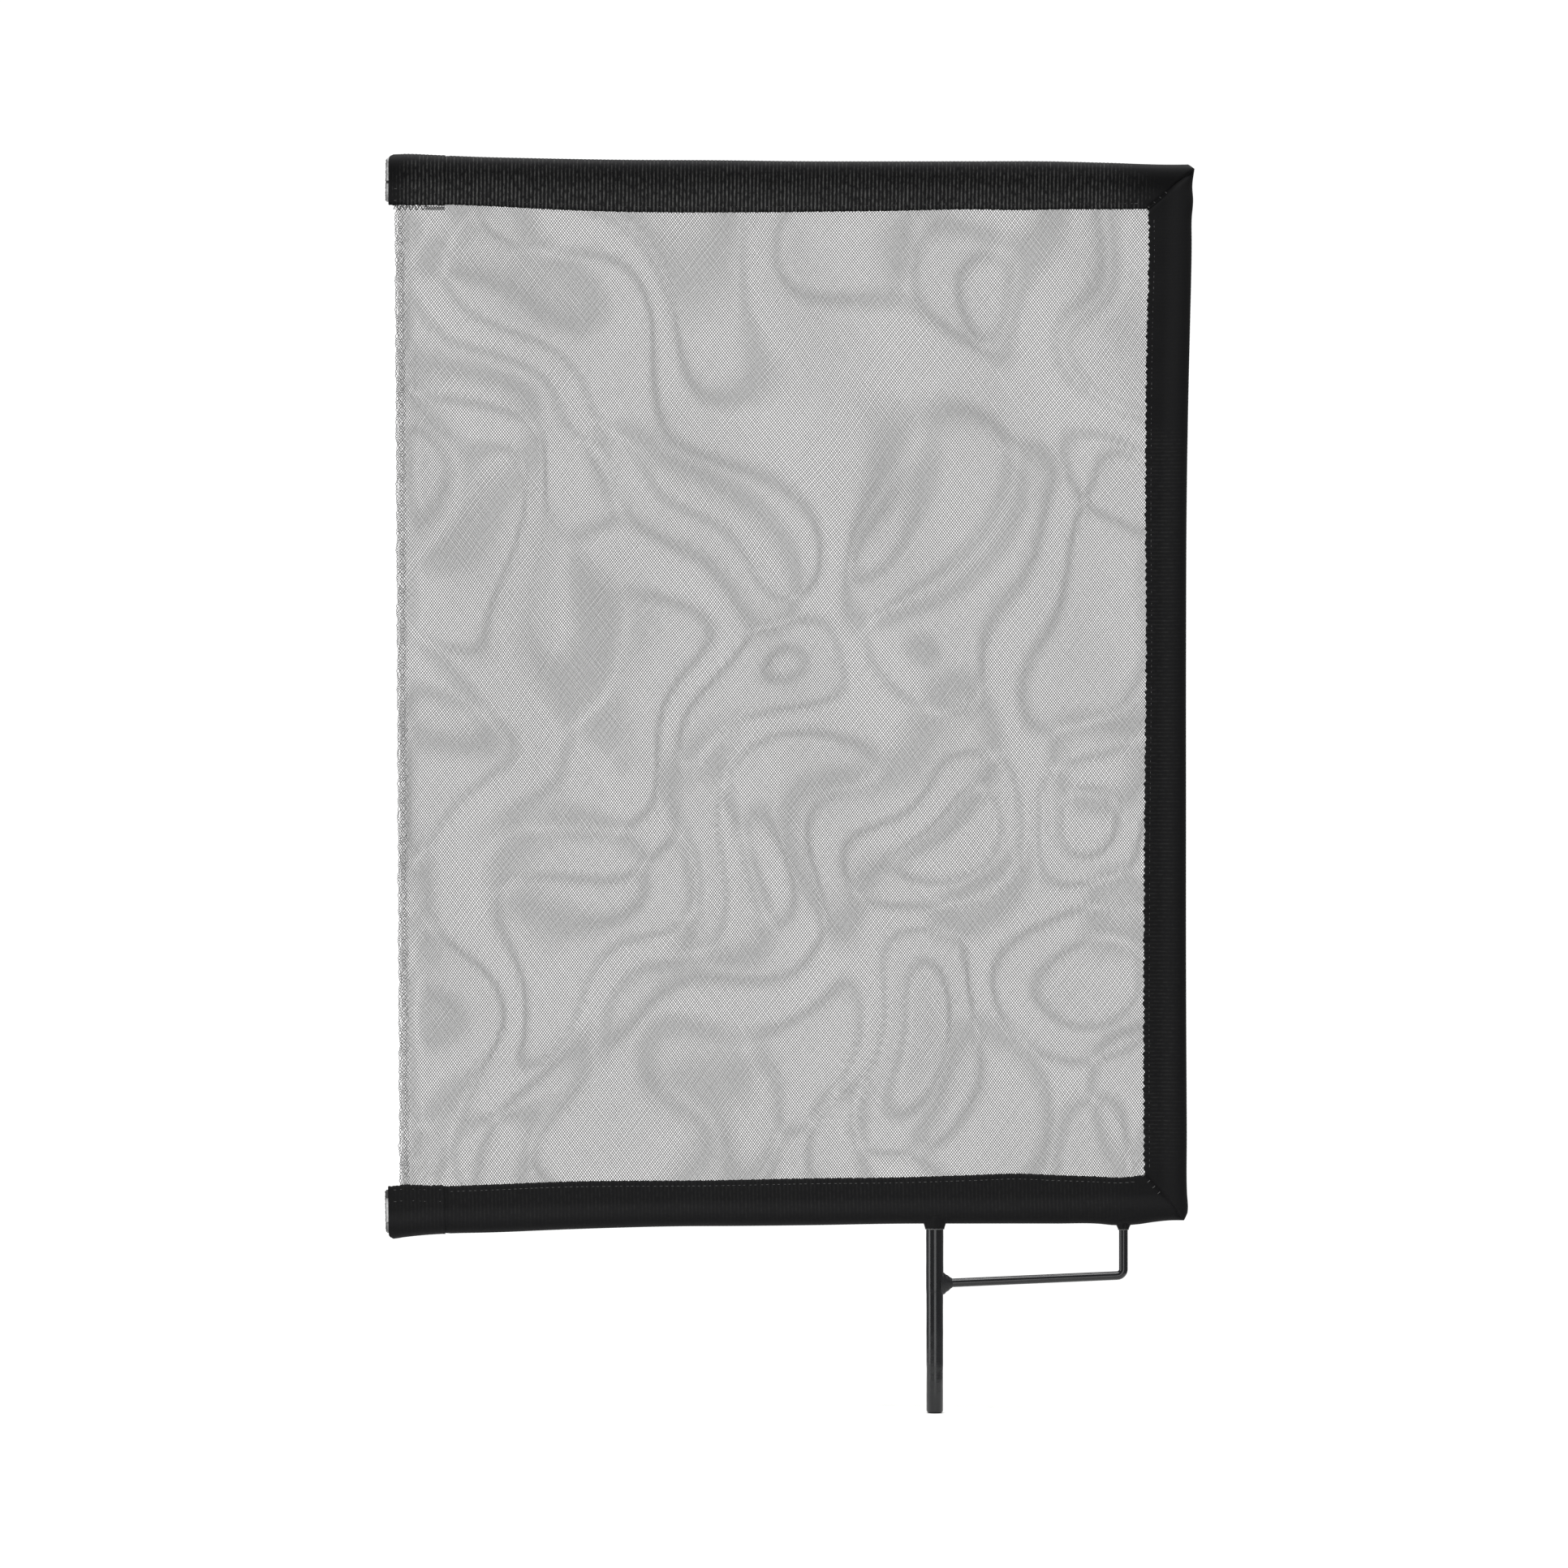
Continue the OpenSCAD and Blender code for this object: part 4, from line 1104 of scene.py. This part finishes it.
class NET_OT_tape_ends(NetOperator):
    """The tape's ends, folded back at the open ends of both arms, and their cut edges"""
    bl_idname = "net.tape_ends"
    bl_label = "Folded tape ends"

    def execute(self, context):
        tape = context.scene.net_tape
        cut = shared_material("singed_tape_end", cut_end_material, tape.colour, tape.end_colour)
        for side in ("top", "bottom"):
            arm = ARMS[side]
            s = stations(arm.length - tape.tab_length, arm.length, tape.rib_pitch, 8)
            points, faces, uv = tape_shell(
                side, s, tape.rib_height + tape.tab_thickness, tape.rib_height + 0.04 * MM,
                tape.rib_height * RIB_SHARE[side],
                (tape.tab_thickness + tape.rib_height) * TAB_SHARE, 0.5 * MM,
                lambda at: 0.2 * MM * ripple(at / MM, (3.7, 2.3, 9.0), 15))
            made = make_piece(f"folded_end_{side}", points, faces, tape_painted_sheen_material(side),
                              (f"tape_tab_{side}",), uv=uv)
            self.cut_end(side, arm, cut)
        return {"FINISHED"}

    def cut_end(self, side, arm, cut):
        """A thin tongue of cut tape that stands out of the sleeve's mouth, pale where the weave is bare and
        dark along its singed edge. Its points carry that tone."""
        knots = np.array(CUT_END_TONES[side])
        n = np.linspace(knots[0, 0], knots[-1, 0], 120) * MM
        taper = np.clip(np.minimum(n - n[0], n[-1] - n) / (1.2 * MM), 0.2, 1) ** 0.5
        half = (1.3 + 0.10 * ripple(n / MM, (2.3, 1.4, 4.1), 20)) * MM * taper
        centres = arm.place(arm.length + 0.55 * MM + 0 * n, n, 0.1 * MM * np.sin(n / MM))
        points, faces = flat_tube(centres, half, 0.7 * MM * taper, 16)
        local = points[:, [0, 2]] - arm.corner
        singed = ramp(local @ arm.along, arm.length + 1.1 * MM, arm.length + 1.5 * MM)
        # the tones include painted shade where the top's end would have a groove down its middle
        tone = np.interp(local @ arm.inward / MM, knots[:, 0], knots[:, 1]) * (1 - singed)
        make_piece(f"cut_end_{side}", points, faces, cut, (f"end_strip_{side}",),
                   values={"tone": tone})


class NET_OT_layers(NetOperator):
    """Two layers of open lozenge mesh, each pulled out of true in its own way"""
    bl_idname = "net.layers"
    bl_label = "Net"

    def execute(self, context):
        net = context.scene.net_mesh
        thread = shared_material("dyed_bobbinet", net_material, net.colour, net.light_colour)
        for layer, node in enumerate(("net_front", "net_back")):
            points, faces, size = net_strands(layer, True)
            between = make_piece(f"{node}_between", points, faces, thread, (node,))
            points, faces, size = net_strands(layer, False)
            made = make_piece(f"{node}_mesh", points, faces, thread, (node,))
        return {"FINISHED"}


class NET_OT_hem(NetOperator):
    """The looped hem that holds both layers together along the open edge"""
    bl_idname = "net.hem"
    bl_label = "Open-edge hem"

    def execute(self, context):
        net = context.scene.net_mesh
        thread = shared_material("hem_thread", thread_material, net.hem_colour, net.hem_light_colour)
        bl, _, _, tl = net_frame()
        length = float(np.linalg.norm(tl - bl))
        t = np.linspace(0, 1, int(length / (0.45 * MM)))
        edge = bl + t[:, None] * (tl - bl)
        run = t * length / MM
        uneven = ripple(run, (37, 17, 9), 31)
        drift = 1.5 * ripple(run, (23, 13, 7.1), 32)
        parts = []
        # (distance in from the edge, swing, period, phase, thread radius), millimetres
        lines = [(0.75, 0.6, 3.3, 0.0, 0.18), (0.75, 0.6, 3.3, math.pi, 0.18),
                 (3.2, 1.35, 4.3, 0.5, 0.1), (3.2, 1.35, 4.3, 0.5 + math.pi, 0.1),
                 (4.9, 0.8, 5.1, 2.0, 0.09)]
        for k, (inset, swing, period, phase, radius) in enumerate(lines):
            turn = 2 * math.pi * run / period + phase + drift
            swung = swing * (1 + 0.35 * ripple(run, (11, 5.3), 40 + k))
            x = inset - HEM_REACH / MM + 0.3 * uneven + swung * np.sin(turn)
            y = (0.55 if k % 2 else -0.55) + 0.25 * np.cos(turn)
            centres = np.stack([edge[:, 0] + x * MM, y * MM, edge[:, 1]], 1)
            parts.append(flat_tube(centres, radius * MM, radius * MM, 5))
        points, faces = joined(parts)
        make_piece("hem", points, faces, thread, ("open_edge_hem",))
        return {"FINISHED"}


class NET_OT_stitching(NetOperator):
    """Rows of stitches along the tapes, across the folded ends and beside the mitres"""
    bl_idname = "net.stitching"
    bl_label = "Stitching"

    def execute(self, context):
        tape = context.scene.net_tape
        thread = shared_material("sewing_thread", thread_material, tape.thread_colour, tape.colour)
        pitch, radius, flap = tape.stitch_length, tape.thread_radius, tape.flap_half
        tab_rise = tape.tab_thickness + tape.rib_height - 0.04 * MM

        def row(arm, side, first, last, inset, lift, length=0.72):
            s = np.arange(first, last, pitch)
            n = outline(side, "inner", s) - inset
            off = tape_wave(side, s, n + outline(side, "outer", s))
            return [stitch_row(arm, s, n, facing * (flap + lift) + off, facing, pitch * length, radius)
                    for facing in (-1, 1)]

        for side, arm in ARMS.items():
            first = 26 * MM
            last = arm.length - (26 * MM if side == "side" else tape.tab_length + 2 * MM)
            points, faces = joined(row(arm, side, first, last, 3.0 * MM, -0.02 * MM))
            make_piece(f"stitches_{side}", points, faces, thread, (f"stitching_{side}",))
        for side in ("top", "bottom"):
            arm = ARMS[side]
            parts = []
            first, last = arm.length - tape.tab_length + 2 * MM, arm.length - 2 * MM
            for inset in (1.8 * MM, 8.5 * MM):
                parts += row(arm, side, first, last, inset, tab_rise)
            if side == "top":
                parts += self.hanging_loops(arm)
            points, faces = joined(parts)
            make_piece(f"stitches_end_{side}", points, faces, thread,
                       (f"tab_stitching_{side}",))
            # beside the mitre: local s and n grow together from the window's corner outwards
            corner = np.array(TAPE_LINES[side]["start"][-1])[::-1] * MM
            nub = np.array(TAPE_LINES[side]["start"][-2])[::-1] * MM
            t = np.linspace(0.05, 0.42, 4)
            place = corner + t[:, None] * (nub - corner)
            parts = [stitch_row(arm, place[:, 0] + 1.2 * MM, place[:, 1], facing * (flap - 0.25 * MM), facing,
                                1.9 * MM, radius, lean=-1.6 * MM) for facing in (-1, 1)]
            points, faces = joined(parts)
            make_piece(f"stitches_mitre_{side}", points, faces, thread,
                       (f"mitre_seam_{side}",))
        reach = brace_path()[3]
        for name, x, drop, ring, node in (
                ("pin_mouth_thread", 0.0, PIN_MOUTH_DROP, 5.3 * MM, "pin_opening_seam"),
                ("brace_mouth_thread", reach, BRACE_MOUTH_DROP, 2.85 * MM, "brace_opening_seam")):
            points, faces = rope_ring(x, bottom_edge_z(x) - drop, ring, 0.28 * MM)
            make_piece(name, points, faces, thread, (node,))
        return {"FINISHED"}

    def hanging_loops(self, arm):
        """Overcast loops that hang below the folded end, and the flat bar of thread beyond them: a
        swinging line n = inner + 1.9 + 1.5 sin(2 pi s / 3.4)."""
        s = np.linspace(arm.length - 3 * MM, arm.length - 22 * MM, 150)
        hang = outline("top", "inner", s) + (1.9 + 1.5 * np.sin(2 * math.pi * s / (3.4 * MM))) * MM
        loops = flat_tube(arm.place(s, hang, 0 * s - 0.7 * MM), 0.3 * MM, 0.24 * MM, 6)
        s = np.linspace(arm.length - 21 * MM, arm.length - 32 * MM, 30)
        edge = outline("top", "inner", s)
        bars = [flat_tube(arm.place(s, edge + drop * MM, 0 * s - 0.65 * MM), 0.26 * MM, 0.18 * MM, 6)
                for drop in (1.6, 2.3, 3.0)]
        return [loops, *bars]


class NET_OT_stage(NetOperator):
    """A pale floor, soft lights above, in front and on the left, and the camera square to the net"""
    bl_idname = "net.stage"
    bl_label = "Stage"

    def execute(self, context):
        stage, scene = context.scene.net_stage, context.scene
        low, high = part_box("mounting_pin")[0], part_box("binding_top")[1]
        left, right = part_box("end_strip_bottom")[0][0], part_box("binding_side")[1][0]
        middle = Vector(((left + right) / 2, 0.0, (low[2] + high[2]) / 2))
        around, rings, floor_z = 96, 12, low[2] - 0.1 * MM
        angle = 2 * math.pi * np.arange(around) / around
        radii = np.linspace(0.02, 1, rings)[:, None] * stage.floor_radius
        z = np.full((rings, around), floor_z)
        points = np.stack([middle.x + radii * np.cos(angle), radii * np.sin(angle), z], -1).reshape(-1, 3)
        points = np.concatenate([points, [[middle.x, 0, floor_z]]])
        ring = np.arange(around)
        cap = np.stack([np.full(around, rings * around), ring, (ring + 1) % around], axis=1)
        faces = grid_faces(rings, around, close_columns=True)[:, ::-1].tolist() + cap.tolist()
        mesh = bpy.data.meshes.new("studio_floor")
        mesh.from_pydata(points.tolist(), [], faces)
        mesh.materials.append(self.floor_material(stage))
        floor = bpy.data.objects.new("studio_floor", mesh)
        scene.collection.objects.link(floor)
        self.world(scene)
        # (name, place, size across, size up, watts)
        for name, place, width, height, power in (
                ("overhead_softbox", (-0.1, -0.1, 2.4), 2.2, 2.2, 100.0),
                ("front_softbox", (0.25, -3.8, -0.05), 1.8, 1.2, 15.0),
                ("left_softbox", (-2.2, -0.45, 0.2), 1.1, 1.8, 17.0)):
            light = bpy.data.lights.new(name, "AREA")
            light.shape, light.size, light.size_y, light.energy = "RECTANGLE", width, height, power
            lamp = bpy.data.objects.new(name, light)
            lamp.location = place
            lamp.rotation_euler = (middle - Vector(place)).to_track_quat("-Z", "Y").to_euler()
            lamp.visible_camera = False
            scene.collection.objects.link(lamp)
        camera = bpy.data.cameras.new("camera")
        camera.sensor_width = 36.0
        camera.lens = camera.sensor_width * stage.distance / stage.view_width
        eye = bpy.data.objects.new("camera", camera)
        eye.location = (middle.x - stage.aim_left, -stage.distance, middle.z)
        eye.rotation_euler = (math.pi / 2, 0.0, 0.0)
        scene.collection.objects.link(eye)
        scene.camera = eye
        scene.view_settings.view_transform = "Standard"
        return {"FINISHED"}

    def floor_material(self, stage):
        """Matt painted board: near white, with a faint cloudiness a hand's breadth across."""
        made, tree, output = new_material("matt_white_board")
        place = add_node(tree, "ShaderNodeTexCoord").outputs["Object"]
        cloud = add_node(tree, "ShaderNodeTexNoise", {
            "Vector": place, "Scale": 1 / 0.12, "Detail": 3.0,
        }).outputs["Fac"]
        pale = tuple(stage.floor_colour)
        dull = tuple(0.985 * c for c in pale)
        colour = add_node(tree, "ShaderNodeValToRGB", {"Fac": cloud},
                          [(0.3, dull), (0.7, pale)]).outputs["Color"]
        board = add_node(tree, "ShaderNodeBsdfPrincipled", {
            "Base Color": colour, "Roughness": 0.9, "Specular IOR Level": 0.1,
        })
        tree.links.new(board.outputs["BSDF"], output.inputs["Surface"])
        return made

    def world(self, scene):
        """White all round as the eye sees it, and a softer white as a light, so that black stays black."""
        world = bpy.data.worlds.new("white_studio")
        world.use_nodes = True
        tree = world.node_tree
        tree.nodes.clear()
        seen = add_node(tree, "ShaderNodeLightPath").outputs["Is Camera Ray"]
        strength = add_node(tree, "ShaderNodeMapRange", {
            "Value": seen, "To Min": 0.32, "To Max": 1.08,
        }).outputs["Result"]
        sky = add_node(tree, "ShaderNodeBackground", {
            "Color": (1.0, 1.0, 1.0, 1.0), "Strength": strength,
        })
        end = add_node(tree, "ShaderNodeOutputWorld", {"Surface": sky.outputs["Background"]})
        tree.nodes.active = end
        scene.world = world


class NET_PT_build(bpy.types.Panel):
    """Lists the operators that build the net, piece by piece"""
    bl_label = "Open-end double net"
    bl_idname = "NET_PT_build"
    bl_space_type = "VIEW_3D"
    bl_region_type = "UI"
    bl_category = "Net"

    def draw(self, context):
        for operator in BUILDERS:
            self.layout.operator(operator.bl_idname)


SETTINGS = {"net_tape": TapeSettings, "net_mesh": NetSettings,
            "net_metal": MetalSettings, "net_stage": StageSettings}
BUILDERS = (NET_OT_frame_rods, NET_OT_pin, NET_OT_brace, NET_OT_binding, NET_OT_tape_ends, NET_OT_layers,
            NET_OT_hem, NET_OT_stitching, NET_OT_stage)


def register():
    for group in SETTINGS.values():
        bpy.utils.register_class(group)
    for name, group in SETTINGS.items():
        setattr(bpy.types.Scene, name, PointerProperty(type=group))
    for made in (*BUILDERS, NET_PT_build):
        bpy.utils.register_class(made)


def unregister():
    for made in (NET_PT_build, *reversed(BUILDERS)):
        bpy.utils.unregister_class(made)
    for name in SETTINGS:
        delattr(bpy.types.Scene, name)
    for group in reversed(SETTINGS.values()):
        bpy.utils.unregister_class(group)


def main():
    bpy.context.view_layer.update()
    register()
    for operator in BUILDERS:
        group, name = operator.bl_idname.split(".")
        if getattr(getattr(bpy.ops, group), name)() != {"FINISHED"}:
            raise RuntimeError(f"{operator.bl_label} was not built")


if __name__ == "__main__":
    main()
